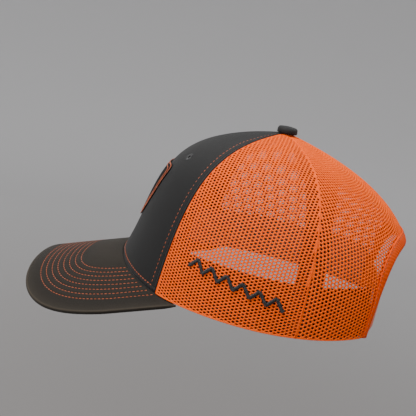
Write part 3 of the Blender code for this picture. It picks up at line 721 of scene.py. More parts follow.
def set_flat(piece, flat):
    """Gives a piece a flat map of its own, in metres for each point."""
    index = np.empty(len(piece.data.loops), np.int32)
    piece.data.loops.foreach_get("vertex_index", index)
    piece.data.uv_layers["flat"].data.foreach_set("uv", (flat / MM)[index].astype(np.float32).ravel())


def stitch_form(rings=7, sides=6):
    """A plump stitch of unit half sizes, which dips in at both ends, with its flat map."""
    points, uv = [(-1.0, 0.0, -0.9)], [(-1.0, 0.0)]
    for x in np.linspace(-1, 1, rings + 2)[1:-1]:
        girth = math.sqrt(1 - abs(x) ** 3)
        sink = 0.75 * abs(x) ** 3
        for k in range(sides):
            turn = 2 * math.pi * k / sides
            points.append((x, girth * math.cos(turn), girth * math.sin(turn) - sink))
            uv.append((x, k / sides))
    points.append((1.0, 0.0, -0.9))
    uv.append((1.0, 0.0))
    faces = []
    last = len(points) - 1
    for k in range(sides):
        n = (k + 1) % sides
        faces.append((0, 1 + n, 1 + k))
        faces.append((last, last - sides + k, last - sides + n))
        for r in range(rings - 1):
            a, b = 1 + r * sides + k, 1 + r * sides + n
            faces += [(a, b, b + sides), (a, b + sides, a + sides)]
    return np.array(points), np.array(faces), np.array(uv)


def stitches(name, centres, alongs, normals, length, width, slot, height=None, lift=0.0, seed=1, **more):
    """One piece of many stitches: `alongs` are their directions, and sizes are full lengths."""
    form, faces, uv = stitch_form()
    centres, alongs, normals = (np.asarray(v, float).reshape(-1, 3) for v in (centres, alongs, normals))
    rng = np.random.default_rng(seed)
    count = len(centres)
    x = unit(alongs)
    y = unit(np.cross(normals, x))
    turn = rng.normal(0, 0.05, (count, 1))
    x, y = x * np.cos(turn) + y * np.sin(turn), y * np.cos(turn) - x * np.sin(turn)
    z = np.cross(x, y)
    half = np.stack([
        np.broadcast_to(length, count) * rng.uniform(0.94, 1.04, count) / 2,
        np.broadcast_to(width, count) * rng.uniform(0.92, 1.08, count) / 2,
        np.broadcast_to(width if height is None else height, count) * rng.uniform(0.92, 1.08, count) / 2], -1)
    centres = centres + z * lift
    points = (centres[:, None]
              + form[None, :, :1] * (x * half[:, :1])[:, None]
              + form[None, :, 1:2] * (y * half[:, 1:2])[:, None]
              + form[None, :, 2:] * (z * half[:, 2:])[:, None])
    size = len(form)
    faces = (faces[None] + np.arange(count)[:, None, None] * size).reshape(-1, 3)
    maps = uv[None] * np.stack([half[:, 0], half[:, 1] * math.pi * 2], -1)[:, None] / MM
    maps[..., 0] += rng.uniform(0, 50, (count, 1))
    return make_mesh(name, points.reshape(-1, 3), faces, maps.reshape(-1, 2), slot, **more)


def running(points, normals, pitch, start=0.5):
    """Centres, directions and normals of stitches a `pitch` apart along a line of points."""
    points, normals = np.asarray(points), np.asarray(normals)
    total = lengths_along(points)
    count = max(int(total[-1] / pitch), 1)
    spots = (np.arange(count) + start) * total[-1] / count

    def pick(values, at):
        return np.stack([np.interp(at, total, values[:, k]) for k in range(3)], -1)

    ahead, behind = pick(points, spots + pitch * 0.3), pick(points, spots - pitch * 0.3)
    return pick(points, spots), ahead - behind, pick(normals, spots)


def joined(rows):
    """Stitch rows, each (centres, directions, normals), as one."""
    return [np.concatenate([row[k] for row in rows]) for k in range(3)]


def turned(profile, centre, axis, sides=24):
    """Points and faces of a small turned form that stands on a surface: profile of (radius, height) in mm."""
    turn = Vector(axis).to_track_quat("Z", "Y").to_matrix().to_4x4()
    points = [Vector(centre) + (turn @ Vector((r * MM * math.cos(a), r * MM * math.sin(a), h * MM)))
              for r, h in profile for a in circle(sides)]
    faces = [(i + k, i + (k + 1) % sides, i + sides + (k + 1) % sides, i + sides + k)
             for i in range(0, (len(profile) - 1) * sides, sides) for k in range(sides)]
    ends = [tuple(reversed(range(sides))), tuple(range(len(points) - sides, len(points)))]
    return points, faces + ends


def loose_form(name, forms, material=None):
    """One object from loose closed forms, to cut from a piece or to join to it."""
    mesh = bpy.data.meshes.new(name)
    points, faces = [], []
    for form_points, form_faces in forms:
        faces += [tuple(i + len(points) for i in face) for face in form_faces]
        points += form_points
    mesh.from_pydata([tuple(p) for p in points], [], faces)
    if material:
        mesh.materials.append(material)
    return add_object(name, mesh)


def apply_boolean(piece, cutter, operation="DIFFERENCE"):
    modifier = piece.modifiers.new("cut", "BOOLEAN")
    modifier.operation = operation
    modifier.solver = "EXACT"
    modifier.object = cutter
    bake_modifiers(piece)
    bpy.data.objects.remove(cutter, do_unlink=True)


def bake_modifiers(piece):
    graph = bpy.context.evaluated_depsgraph_get()
    mesh = bpy.data.meshes.new_from_object(piece.evaluated_get(graph), depsgraph=graph)
    mesh.name = piece.name
    piece.modifiers.clear()
    piece.data = mesh


def join(piece, forms):
    apply_boolean(piece, loose_form("forms", forms, piece.data.materials[0]), "UNION")


# ---------------------------------------------------------------- the net panels

COLUMN_PITCH = 2.42 * MM
HOLE_PITCH = 2.15 * MM
HOLE_HALF = (0.86 * MM, 0.70 * MM)
NET_CORNERS = 12


def pace(angle, rise):
    """Distance moved across the crown per radian of angle."""
    step = 1e-3
    moved = crown_face(angle + step, rise) - crown_face(angle - step, rise)
    return np.linalg.norm(moved, axis=-1) / (2 * step)


def from_flat(first, second, p, q):
    """(angle, rise) of a point `p` across and `q` up the flat cloth of the panel between two seams."""
    rises = np.linspace(0, 0.995, 500)
    middle = (seam_angle(first, rises) + seam_angle(second, rises)) / 2
    length = lengths_along(crown_face(middle, rises))
    rise = np.interp(q, length, rises)
    rise = np.where(q < 0, q / length[1] * rises[1], rise)
    start = (seam_angle(first, rise) + seam_angle(second, rise)) / 2
    turn = p / pace(start, rise)
    for _ in range(4):
        mean = (pace(start, rise) + 4 * pace(start + turn / 2, rise) + pace(start + turn, rise)) / 6
        turn = p / mean
    return start + turn, rise


def net_cells(half_width, height):
    """Centres, corner points and hole points of the knitted lattice, on the flat cloth."""
    across = COLUMN_PITCH / 2 + HOLE_PITCH**2 / (8 * COLUMN_PITCH)
    inner = COLUMN_PITCH / 2 - HOLE_PITCH**2 / (8 * COLUMN_PITCH)
    corners = np.array([(across, 0), (inner, HOLE_PITCH / 2), (-inner, HOLE_PITCH / 2), (-across, 0),
                        (-inner, -HOLE_PITCH / 2), (inner, -HOLE_PITCH / 2)])
    edge = np.empty((NET_CORNERS, 2))
    edge[0::2] = corners
    edge[1::2] = (corners + np.roll(corners, -1, 0)) / 2
    turn = np.arctan2(edge[:, 1] / HOLE_HALF[1], edge[:, 0] / HOLE_HALF[0])
    hole = np.stack([HOLE_HALF[0] * np.cos(turn), HOLE_HALF[1] * np.sin(turn)], -1)
    columns = int(half_width / COLUMN_PITCH) + 1
    centres = []
    for i in range(-columns, columns + 1):
        for j in range(-1, int(height / HOLE_PITCH) + 2):
            centres.append((i * COLUMN_PITCH, (j + 0.5 * (i % 2)) * HOLE_PITCH))
    return np.array(centres), edge, hole


def net_limits(first, second, top, arched):
    """A function that tells which points are inside a net panel, and moves the others to its edge."""
    phases = np.linspace(0, math.pi / 2, 900)
    line = np.stack(arch_line(phases), -1)
    scale = np.array([ARCH_CLOTH_PER_RADIAN, CLOTH_PER_RISE])

    def limit(angle, rise, margin=0.0):
        turn = margin / np.maximum(axis_distance(angle, rise), 2 * MM)
        low, high = seam_angle(first, rise) + turn, seam_angle(second, rise) - turn
        bottom = margin / SEAM_CLOTH_PER_RISE
        inside = (angle > low) & (angle < high) & (rise > bottom) & (rise < top)
        new_angle, new_rise = np.clip(angle, low, high), np.clip(rise, bottom, top)
        if arched:
            seam = seam_angle(SIDE_SEAM, new_rise)
            share = (new_angle - seam) / (math.pi - seam)
            opened = (1 - share) * (180.0 - SIDE_SEAM[0]) / ARCH_HALF_ANGLE
            opened = np.clip(opened, 0, 1) ** (1 / ARCH_SQUARENESS)
            height = ARCH_TOP * np.sqrt(np.maximum(1 - opened**2, 0)) + margin / CLOTH_PER_RISE
            cut = (share > arch_share(0.0) - margin / BACK_PANEL_WIDTH) & (new_rise < height)
            inside &= ~cut
            if cut.any():
                gaps = (np.stack([new_angle[cut], new_rise[cut]], -1)[:, None] - line[None]) * scale
                near = np.argmin((gaps**2).sum(-1), 1)
                new_angle[cut], new_rise[cut] = line[near, 0], line[near, 1]
        return inside, new_angle, new_rise

    return limit


def net_depth(first, second, angle, rise):
    """The net sinks a little as it turns into its seams."""
    to_first, to_second = np.abs(angle - seam_angle(first, rise)), np.abs(seam_angle(second, rise) - angle)
    near = np.minimum(to_first, to_second) * axis_distance(angle, rise)
    return 0.35 * MM * bell(near, 0, 0.9 * MM)


def net_panel(name, first, second, half_width, arched, mirrored):
    middle = math.radians((first[1] + second[1]) / 2)
    top = rise_at_radius(middle, PEAK_HOLE_RADIUS)
    rises = np.linspace(0, top, 400)
    centre_line = crown_face((seam_angle(first, rises) + seam_angle(second, rises)) / 2, rises)
    height = steps_along(centre_line).sum()
    centres, edge, hole = net_cells(half_width, height)
    limit = net_limits(first, second, top, arched)
    corners = centres[:, None] + edge[None]
    angle, rise = from_flat(first, second, corners[..., 0].ravel(), corners[..., 1].ravel())
    inside, angle, rise = limit(angle, rise)
    kept = inside.reshape(-1, NET_CORNERS).any(1)
    angle, rise = angle.reshape(-1, NET_CORNERS)[kept], rise.reshape(-1, NET_CORNERS)[kept]
    centres, corners = centres[kept], corners[kept]
    rng = np.random.default_rng(5)
    sizes = rng.uniform(0.93, 1.05, len(centres))
    rounds = centres[:, None] + hole[None] * sizes[:, None, None]
    hole_angle, hole_rise = from_flat(first, second, rounds[..., 0].ravel(), rounds[..., 1].ravel())
    inside, cut_angle, cut_rise = limit(hole_angle, hole_rise, 0.25 * MM)
    clear = inside.reshape(-1, NET_CORNERS).all(1)
    hole_angle, hole_rise = hole_angle.reshape(-1, NET_CORNERS), hole_rise.reshape(-1, NET_CORNERS)
    mid_angle, mid_rise = from_flat(first, second, centres[:, 0], centres[:, 1])
    arch_foot = arch_line(np.zeros(1))[0][0] - math.radians(3)
    at_arch = arched & (mid_rise < ARCH_TOP + 0.03) & (mid_angle > arch_foot)
    trimmed = limit(mid_angle, mid_rise, 0.5 * MM)[0] & ~clear & ~at_arch
    hole_angle[trimmed] = cut_angle.reshape(-1, NET_CORNERS)[trimmed]
    hole_rise[trimmed] = cut_rise.reshape(-1, NET_CORNERS)[trimmed]
    clear |= trimmed
    _, mid_angle, mid_rise = limit(mid_angle, mid_rise)

    params = [np.stack([angle.ravel(), rise.ravel()], -1)]
    flats = [corners.reshape(-1, 2)]
    open_cells, solid_cells = np.flatnonzero(clear), np.flatnonzero(~clear)
    params += [np.stack([hole_angle[clear].ravel(), hole_rise[clear].ravel()], -1),
               np.stack([mid_angle[~clear], mid_rise[~clear]], -1)]
    flats += [rounds[clear].reshape(-1, 2), centres[~clear]]
    params, flats = np.concatenate(params), np.concatenate(flats)
    is_hole = np.zeros(len(params), bool)
    is_hole[angle.size:angle.size + hole_angle[clear].size] = True

    step = np.arange(NET_CORNERS)
    after = (step + 1) % NET_CORNERS
    rims = open_cells[:, None] * NET_CORNERS
    holes = angle.size + np.arange(len(open_cells))[:, None] * NET_CORNERS
    solids = solid_cells[:, None] * NET_CORNERS
    hubs = angle.size + hole_angle[clear].size + np.arange(len(solid_cells))
    faces = [(rims + step, rims + after, holes + after), (rims + step, holes + after, holes + step),
             (solids + step, solids + after, np.repeat(hubs[:, None], NET_CORNERS, 1))]
    faces = np.concatenate([np.stack(corners, -1).reshape(-1, 3) for corners in faces])

    sunk = net_depth(first, second, params[:, 0], params[:, 1])
    outer = crown(params[:, 0], params[:, 1], sunk + np.where(is_hole, 0.24, 0.0) * MM)
    inner = crown(params[:, 0], params[:, 1], sunk + np.where(is_hole, 0.56, 0.8) * MM)
    return thick_mesh(name, *on_side(mirrored, outer, inner), faces, flats / MM, "polyester_net")


def seam_strip(name, seam, low, top, profile, mirrored=False):
    """A folded edge that follows a seam; the profile gives (across, depth) in mm round its section."""
    rises = np.linspace(low, top, 70)
    radius = axis_distance(seam_angle(seam, rises), rises)
    slim = np.clip(radius / (16 * MM), 0.45, 1.0)
    sections = [crown(seam_angle(seam, rises) + across * MM * slim / radius, rises, depth * MM)
                for across, depth in profile]
    return tube(name, *on_side(mirrored, np.stack(sections, 1)), "polyester_net")


FOLD_PROFILE = (
    (-0.5, 0.45), (-0.45, 0.12), (-0.32, -0.1), (-0.14, -0.08), (0.0, 0.25), (0.14, -0.08), (0.32, -0.1),
    (0.45, 0.12), (0.5, 0.45), (0.4, 0.8), (0.0, 0.9), (-0.4, 0.8))
FRONT_FOLD_PROFILE = (
    (0.02, 0.75), (0.05, 0.4), (0.12, 0.2), (0.22, 0.15), (0.32, 0.2), (0.38, 0.4), (0.36, 0.75), (0.2, 0.9))
HEM_PROFILE = (
    (0.42, 0.15), (0.34, -0.04), (0.14, -0.1), (-0.08, 0.0), (-0.18, 0.45), (-0.1, 0.95), (0.2, 1.1),
    (0.42, 1.05), (0.48, 0.8), (0.48, 0.35))


def hem_strip(name, first, last, mirrored):
    """The folded lower edge of a net panel, from one angle in degrees to another."""
    angles = np.radians(np.linspace(first, last, 60))
    sections = [crown(angles, up * MM / CLOTH_PER_RISE, depth * MM) for up, depth in HEM_PROFILE]
    return tube(name, *on_side(mirrored, np.stack(sections, 1)), "polyester_net")


def build_net():
    fold_top = rise_at_radius(math.radians(90), 5.0 * MM)
    for side, mirrored in SIDES:
        panel = net_panel(f"net_side_{side}", FRONT_SEAM, SIDE_SEAM, 60 * MM, False, mirrored)
        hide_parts(f"mesh_side_{side}")
        band = seam_strip(f"net_fold_front_{side}", FRONT_SEAM, 0.0, fold_top, FRONT_FOLD_PROFILE, mirrored)
        hem = hem_strip(f"net_hem_side_{side}", FRONT_SEAM[0] + 0.4, SIDE_SEAM[0], mirrored)
        panel = net_panel(f"net_back_{side}", SIDE_SEAM, BACK_CENTRE, 78 * MM, True, mirrored)
        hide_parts(f"mesh_back_{side}")
        band = seam_strip(f"net_fold_side_{side}", SIDE_SEAM, 0.0, fold_top, FOLD_PROFILE, mirrored)
        hem = hem_strip(f"net_hem_back_{side}", SIDE_SEAM[0], 180 - ARCH_HALF_ANGLE - 3.2, mirrored)
    seam_strip("net_fold_back", BACK_CENTRE, ARCH_TOP + 0.03, fold_top, FOLD_PROFILE)


build_net()

# ---------------------------------------------------------------- front panels, stiffener, tapes, sweatband

TOPSTITCH_INSET = 5.0 * MM
FRONT_EDGE_STEPS = (9, 8, 7, 6.4, 6.0, 5.7, 5.4, 5.2, 5.0, 4.8, 4.5, 4.1, 3.4, 2.7, 2.25, 2.0, 1.85, 1.75,
                    1.65, 1.5, 1.3, 1.0, 0.7, 0.45, 0.3, 0.2, 0.1, 0.02)
CENTRE_EDGE_STEPS = (0.02, 0.1, 0.25, 0.45, 0.7, 1.0, 1.4, 1.9, 2.6, 3.6)
JOINT_STITCH_UP = 2.6 * MM
FRONT_MIDDLE = math.radians(27)
FRONT_SHOULDER = math.radians(30)
TAPE_TOP_RADIUS = 8.5 * MM
EYELET_ANGLE = 30.0
EYELET_RISE = 0.582
EYELET_RADIUS = 0.95 * MM


def slimming(rise):
    """How much a seam's trimmings narrow towards the peak."""
    return np.clip(axis_distance(FRONT_SHOULDER, rise) / (45 * MM), 0.16, 1.0)


def front_grid():
    """(angle, rise, distances from the front seam and the centre seam, length up) over a front panel."""
    top = rise_at_radius(FRONT_SHOULDER, PEAK_HOLE_RADIUS)
    total = steps_along(crown_face(FRONT_MIDDLE, np.linspace(0, top, 400))).sum()
    lengths = np.concatenate([[0, 0.15, 0.4, 0.8, 1.3, 1.8, 2.1, 2.35, 2.6, 2.85, 3.1, 3.5, 4.2],
                              np.linspace(5.2, total / MM, 110)]) * MM
    rises = np.minimum(rise_at_length(FRONT_MIDDLE, lengths), top)
    low = seam_angle(FRONT_CENTRE, rises)
    high = seam_angle(FRONT_SEAM, rises)
    radius = axis_distance(high, rises)
    centre_radius = axis_distance(0 * rises, rises)
    slim = slimming(rises)
    angles = [step * MM * slim / centre_radius for step in CENTRE_EDGE_STEPS]
    start, end = angles[-1], high - FRONT_EDGE_STEPS[0] * MM * slim / radius
    angles += [lerp(start, end, share) for share in np.linspace(0, 1, 30)[1:-1]]
    angles += [high - step * MM * slim / radius for step in FRONT_EDGE_STEPS]
    angle = np.array(angles)
    rise = np.broadcast_to(rises, angle.shape)
    from_seam = (high - angle) * radius / slim
    from_centre = (angle - low) * centre_radius / slim
    return angle, rise, from_seam, from_centre, np.broadcast_to(lengths, angle.shape)


def front_depth(from_seam, from_centre, up):
    """Relief of the twill: rolled seam edges, a raised seam allowance, and grooves under the stitches."""
    depth = 0.75 * MM * bell(from_seam, 0, 0.28 * MM) - 0.10 * MM * bell(from_seam, 0.9 * MM, 0.5 * MM)
    depth += 0.34 * MM * bell(from_seam, 1.75 * MM, 0.26 * MM)
    depth += 0.26 * MM * bell(from_seam, TOPSTITCH_INSET, 0.45 * MM)
    depth -= 0.18 * MM / (1 + np.exp((from_seam - TOPSTITCH_INSET - 1.0 * MM) / (0.3 * MM)))
    depth += 0.6 * MM * bell(from_centre, 0, 0.4 * MM) - 0.10 * MM * bell(from_centre, 1.2 * MM, 0.8 * MM)
    depth += 0.8 * MM * bell(up, 0, 0.8 * MM) - 0.1 * MM * bell(up, 1.6 * MM, 0.7 * MM)
    return depth + 0.22 * MM * bell(up, JOINT_STITCH_UP, 0.4 * MM)


def cut_eyelet(piece, mirrored):
    """Cuts the eyelet's round hole through a cloth piece."""
    angle = math.radians(EYELET_ANGLE)
    centre, outward = on_side(mirrored, crown(angle, EYELET_RISE), crown_normal(angle, EYELET_RISE))
    radius = EYELET_RADIUS / MM
    apply_boolean(piece, loose_form("cutter", [turned([(radius, -6), (radius, 3)], centre, outward)]))


def build_front():
    angle, rise, from_seam, from_centre, up = front_grid()
    depth = front_depth(from_seam, from_centre, up)
    ripple = 0.10 * MM * np.sin(angle * 9.0 + rise * 7.0) * np.sin(rise * 11.0 - angle * 3.0)
    outer = crown(angle, rise, depth + ripple * bell(rise, 0.45, 0.35))
    inner = crown(angle, rise, np.maximum(0.8 * MM, depth + 0.3 * MM))
    wear = 0.38 * bell(from_seam, 1.4 * MM, 0.8 * MM) + 0.45 * bell(up, 1.4 * MM, 0.7 * MM)
    wear += 0.30 * bell(from_centre, 1.2 * MM, 0.7 * MM) + 0.22 * bell(rise, 0.72, 0.18)
    row_rises = np.linspace(0.02, rise_at_radius(math.radians(55), 9 * MM), 500)
    radius = axis_distance(seam_angle(FRONT_SEAM, row_rises), row_rises)
    row_angle = seam_angle(FRONT_SEAM, row_rises) - TOPSTITCH_INSET * slimming(row_rises) / radius
    row = running(crown(row_angle, row_rises, 0.12 * MM), crown_normal(row_angle, row_rises), 3.0 * MM)
    stitches("topstitch_front", *joined([row, on_side(True, *row)]), 2.15 * MM, 0.62 * MM, "orange_thread",
             0.5 * MM)
    angles = np.radians(np.linspace(-51.5, 51.5, 700))
    rises = rise_at_length(FRONT_MIDDLE, JOINT_STITCH_UP)
    row = running(crown(angles, rises, 0.08 * MM), crown_normal(angles, rises), 2.9 * MM)
    stitches("topstitch_joint", *row, 2.2 * MM, 0.66 * MM, "orange_thread", 0.55 * MM)
    for side, mirrored in SIDES:
        panel = shell(f"front_twill_{side}", *on_side(mirrored, outer, inner), "charcoal_twill", wear=wear)
        cut_eyelet(panel, mirrored)
        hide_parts(f"front_panel_{side}")
        build_stiffener(side, mirrored)
        build_eyelet(side, mirrored)


def build_stiffener(side, mirrored):
    rises = np.linspace(0.008, rise_at_radius(FRONT_MIDDLE, TAPE_TOP_RADIUS), 90)
    first = 0.2 * MM / axis_distance(0 * rises, rises)
    last = seam_angle(FRONT_SEAM, rises)
    radius = axis_distance(last, rises)
    last = last - np.minimum(8.7 * MM, 0.45 * radius) / radius
    angle = np.array([lerp(first, last, share) for share in np.linspace(0, 1, 40)])
    rise = np.broadcast_to(rises, angle.shape)
    cells = 0.06 * MM * np.sin(rise * 640) * np.sin(angle * 300)
    grids = [crown(angle, rise, depth * MM + cells) for depth in (1.12, 1.88)]
    piece = shell(f"front_stiffener_{side}", *on_side(mirrored, *grids), "buckram")
    cut_eyelet(piece, mirrored)
    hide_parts(f"front_buckram_{side}")


def build_eyelet(side, mirrored):
    """A hole bound with stitches that run out from its edge, over a cord."""
    angle = math.radians(EYELET_ANGLE)
    centre, outward = crown(angle, EYELET_RISE), crown_normal(angle, EYELET_RISE)
    along = unit(np.cross(outward, (0, 0, 1.0)))
    up = np.cross(outward, along)

    def spokes_of(count):
        turns = circle(count)
        return np.cos(turns)[:, None] * along + np.sin(turns)[:, None] * up

    spokes = spokes_of(34)
    places = centre + spokes * 2.4 * MM + outward * 0.02 * MM
    normals = np.broadcast_to(outward, spokes.shape)
    piece = stitches(f"eyelet_stitches_{side}", *on_side(mirrored, places, spokes, normals), 2.6 * MM,
                     0.5 * MM, "grey_thread", 0.42 * MM)
    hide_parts(f"eyelet_{side}")
    spokes = spokes_of(40)
    rings = [centre + spokes * (1.9 + 0.85 * math.cos(s)) * MM + outward * (0.26 * math.sin(s) - 0.14) * MM
             for s in circle(10)]
    tube(f"eyelet_cord_{side}", *on_side(mirrored, np.stack(rings, 1)), "grey_thread", closed=True)


TAPE_PROFILE = (
    (-1, 0.16), (-0.97, 0.05), (-0.9, -0.02), (-0.8, -0.02), (-0.6, 0.05), (-0.3, 0.02), (0, 0), (0.3, 0.02),
    (0.6, 0.05), (0.8, -0.02), (0.9, -0.02), (0.97, 0.05), (1, 0.16))


def tape_piece(name, node, seam, low, depth, mirrored=False):
    """A tape with rolled edges over the inside of a seam, held by a row of stitches near each edge."""
    top = rise_at_radius(math.radians(seam[1]), TAPE_TOP_RADIUS)
    rises = np.linspace(low, top, 110)
    middle = seam_angle(seam, rises)
    radius = axis_distance(middle, rises)
    half = np.minimum(8.0 * MM, 0.42 * radius) / radius
    levels, thin = np.array(TAPE_PROFILE).T
    thin = thin * MM
    angle = np.array([middle + level * half for level in levels])
    rise = np.broadcast_to(rises, angle.shape)
    puckers = 0.05 * MM * np.sin(rise * 260) * np.abs(levels)[:, None]
    outer = crown(angle, rise, depth + thin[:, None] + puckers)
    inner = crown(angle, rise, depth + 0.5 * MM - thin[:, None] + puckers)
    rows = []
    for sign in (-0.84, 0.84):
        line = middle + sign * half
        rows.append(running(crown(line, rises, depth + 0.52 * MM), -crown_normal(line, rises), 3.0 * MM))
    piece = shell(name, *on_side(mirrored, outer, inner), "lining_tape")
    row = stitches(f"{name}_stitches", *on_side(mirrored, *joined(rows)), 2.2 * MM, 0.5 * MM, "black_thread",
                   0.4 * MM)
    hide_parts(node)


def build_tapes():
    for side, mirrored in SIDES:
        tape_piece(f"tape_front_{side}", f"seam_tape_front_{side}", FRONT_SEAM, 0.004, 1.1 * MM, mirrored)
        tape_piece(f"tape_side_{side}", f"seam_tape_side_{side}", SIDE_SEAM, 0.004, 1.1 * MM, mirrored)
    tape_piece("tape_front_center", "seam_tape_front_center", FRONT_CENTRE, 0.004, 2.2 * MM)
    tape_piece("tape_back_center", "seam_tape_back_center", BACK_CENTRE, ARCH_TOP + 0.065, 1.1 * MM)


SWEATBAND_HEIGHT = 34.0 * MM
SWEATBAND_SEAMS = (3.0 * MM, 31.2 * MM)
BAND_END = 180 - ARCH_HALF_ANGLE - 0.9
JOINT_FACING_END = 64.6


def facing(name, angles, low, high, depth, mirrored=False):
    """A narrow strip behind the crown's lower edge: `low` and `high` are nominal mm of cloth up from it."""
    angle = np.broadcast_to(angles[:, None], (len(angles), 5))
    low, high = (np.broadcast_to(up, angles.shape)[:, None] for up in (low, high))
    up = lerp(low, high, np.linspace(0, 1, 5)[None])
    rise = up * MM / CLOTH_PER_RISE
    grids = [crown(angle, rise, depth * MM), crown(angle, rise, (depth + 0.35) * MM)]
    return shell(name, *on_side(mirrored, *grids), "lining_tape")


def build_facings():
    """The turned-in edges that close the joint with the visor and back the lower edge of the net, and a dark
    strip of painted shade over each strap tab.
    """
    angles = np.radians(np.linspace(-JOINT_FACING_END, JOINT_FACING_END, 161))
    near_tip = np.clip((JOINT_FACING_END - np.abs(np.degrees(angles))) / 3.0, 0, 1)
    pieces = [facing("visor_joint_facing", angles, 0.2 - 2.3 * near_tip, 0.5, 1.15)]
    for side, mirrored in SIDES:
        angles = np.radians(np.linspace(55.0, BAND_END, 121))
        pieces.append(facing(f"hem_facing_{side}", angles, 0.15, 5.0, 1.75, mirrored))
        # Painted shade: a dark strip between the net and the strap's tab, so the holes there look dark
        # instead of orange.
        angles = np.radians(np.linspace(121.0, 180 - ARCH_HALF_ANGLE - 2.2, 41))
        high = [float(rise_at_length(angle, 31 * MM)) * CLOTH_PER_RISE / MM for angle in angles]
        pieces.append(facing(f"strap_shade_sheet_{side}", angles, 3.0, high, 1.15, mirrored))
    return pieces


def build_sweatband():
    """A soft band round the opening, turned over at its top edge and sewn along both edges."""
    angles = np.radians(np.linspace(-BAND_END, BAND_END, 241))
    ups = np.array([1.0, 1.3, 2.0, 2.6, 3.0, 3.4, 4.0, 6, 9, 12, 15, 18, 21, 24, 27, 29.5, 30.6, 31.2, 31.8,
                    32.6, 33.4, 33.8, 34.0]) * MM
    rises = np.array([rise_at_length(angle, ups) for angle in angles])
    angle = np.broadcast_to(angles[:, None], rises.shape)
    bulge = np.sin(ups / SWEATBAND_HEIGHT * math.pi)
    waves = 0.22 * MM * np.sin(angle * 17 + 1.5 * np.sin(angle * 5)) * bulge
    seam = 0.25 * MM * (bell(ups, SWEATBAND_SEAMS[0], 0.5 * MM) + bell(ups, SWEATBAND_SEAMS[1], 0.5 * MM))
    roll = 0.45 * MM * (bell(ups, 1.0 * MM, 0.3 * MM) + bell(ups, SWEATBAND_HEIGHT, 0.3 * MM))
    outer = crown(angle, rises, 3.5 * MM + waves + roll)
    inner = crown(angle, rises, 4.2 * MM + waves - 0.5 * roll)
    wear = 0.5 * bell(ups, 33.2 * MM, 0.9 * MM) * np.ones_like(rises)
    band = shell("sweatband_cloth", outer, inner, "sweatband_cloth", wear=wear)
    skin = slice(1, -1)
    lining = shell("sweatband_lining", crown(angle, rises, 4.3 * MM + waves)[:, skin],
                   crown(angle, rises, 4.75 * MM + waves - 0.3 * roll - seam)[:, skin], "sweatband_cloth")
    lining.data.materials[0] = LINING_TWILL
    rows = []
    for up in SWEATBAND_SEAMS:
        line = np.array([rise_at_length(a, up) for a in angles])
        rows.append(running(crown(angles, line, 4.55 * MM), -crown_normal(angles, line), 3.1 * MM))
    row = stitches("sweatband_stitches", *joined(rows), 2.3 * MM, 0.55 * MM, "black_thread", 0.45 * MM)
    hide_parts("sweatband")
    facings = build_facings()


BINDING_STITCH_LINE = 6.0 * MM
BINDING_PROFILE = (
    (7.3, -0.25), (7.5, -0.55), (7.2, -0.85), (6.5, -0.80), (6.0, -0.72), (5.4, -0.86), (4.0, -0.95),
    (2.4, -0.95), (1.0, -0.90), (0.1, -0.80), (-0.55, -0.45), (-0.85, 0.1), (-0.85, 0.8), (-0.5, 1.35),
    (0.2, 1.65), (2.0, 1.75), (5.4, 1.72), (6.0, 1.58), (6.6, 1.66), (7.3, 1.6), (7.5, 1.3), (7.2, 1.05),
    (4.0, 1.02), (0.5, 0.95), (-0.2, 0.6), (-0.2, 0.1), (0.5, -0.25), (4.0, -0.28))


def binding_width(phases):
    """The strip is turned under more and more towards the feet of the arch."""
    return 0.42 + 0.58 / (1 + np.exp(-(phases - math.radians(27)) / math.radians(5)))


def build_binding():
    """A folded strip round the raw edge of the arch, stitched on both faces near its edge on the net."""
    phases = np.linspace(0, math.pi / 2, 70)
    sections, rows = [], []
    narrow = binding_width(phases)
    for across, depth in BINDING_PROFILE:
        angle, rise = arch_offset(phases, across * MM * np.where(across > 0, narrow, 1.0))
        sections.append(crown(angle, np.maximum(rise, 0.001), depth * MM))
    half = np.stack(sections, 1)
    whole = np.concatenate([half, mirror(half[-2::-1])])
    strip = tube("arch_binding_cloth", whole, "orange_binding")
    for depth, sign in ((-0.82, 1.0), (1.68, -1.0)):
        angle, rise = arch_offset(phases, BINDING_STITCH_LINE * narrow)
        rise = np.maximum(rise, 0.001)
        points, normals = crown(angle, rise, depth * MM), crown_normal(angle, rise) * sign
        points = np.concatenate([points, mirror(points[-2::-1])])
        normals = np.concatenate([normals, mirror(normals[-2::-1])])
        rows.append(running(points, normals, 2.9 * MM))
    row = stitches("arch_binding_stitches", *joined(rows), 2.2 * MM, 0.55 * MM, "orange_thread", 0.45 * MM)
    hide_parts("arch_binding")


build_front()
build_tapes()
build_sweatband()
build_binding()

# ---------------------------------------------------------------- visor

VISOR_CLOTH = 0.7 * MM
VISOR_CLEARANCE = 0.8 * MM
VISOR_CLOSE = 0.12 * MM
VISOR_DEPTH = 4.0 * MM
VISOR_EDGE_ROLL = (1.5 * MM, 2.2 * MM)
VISOR_TIP_DEPTH = 2.2 * MM
VISOR_TIP_TAPER = 0.16
STITCH_ROWS = tuple((10.5 + 4.05 * k) * MM for k in range(8))


def visor_curve(inset, phase):
    """The free edge moved inward: each row of stitching is a little squarer than the one outside it."""
    grow = 1 + 0.2 * np.clip((inset / MM - 10) / 29, 0, 1)
    front = np.sin(phase) ** (2 / VISOR_FRONT_SQUARENESS)
    side = np.abs(np.cos(phase)) ** (2 / VISOR_SIDE_SQUARENESS)
    front_power, side_power = VISOR_FRONT_SQUARENESS * grow, VISOR_SIDE_SQUARENESS * grow
    out = highest(lambda out: (out * front) ** front_power + (out * side) ** side_power < 1,
                  np.ones_like(phase + inset), np.full_like(phase + inset, 1.6), 40)
    across = np.sign(np.cos(phase)) * side * out * (VISOR_HALF_WIDTH - inset)
    return np.stack([across, VISOR_END + front * out * (VISOR_LENGTH - inset - VISOR_END)], -1)


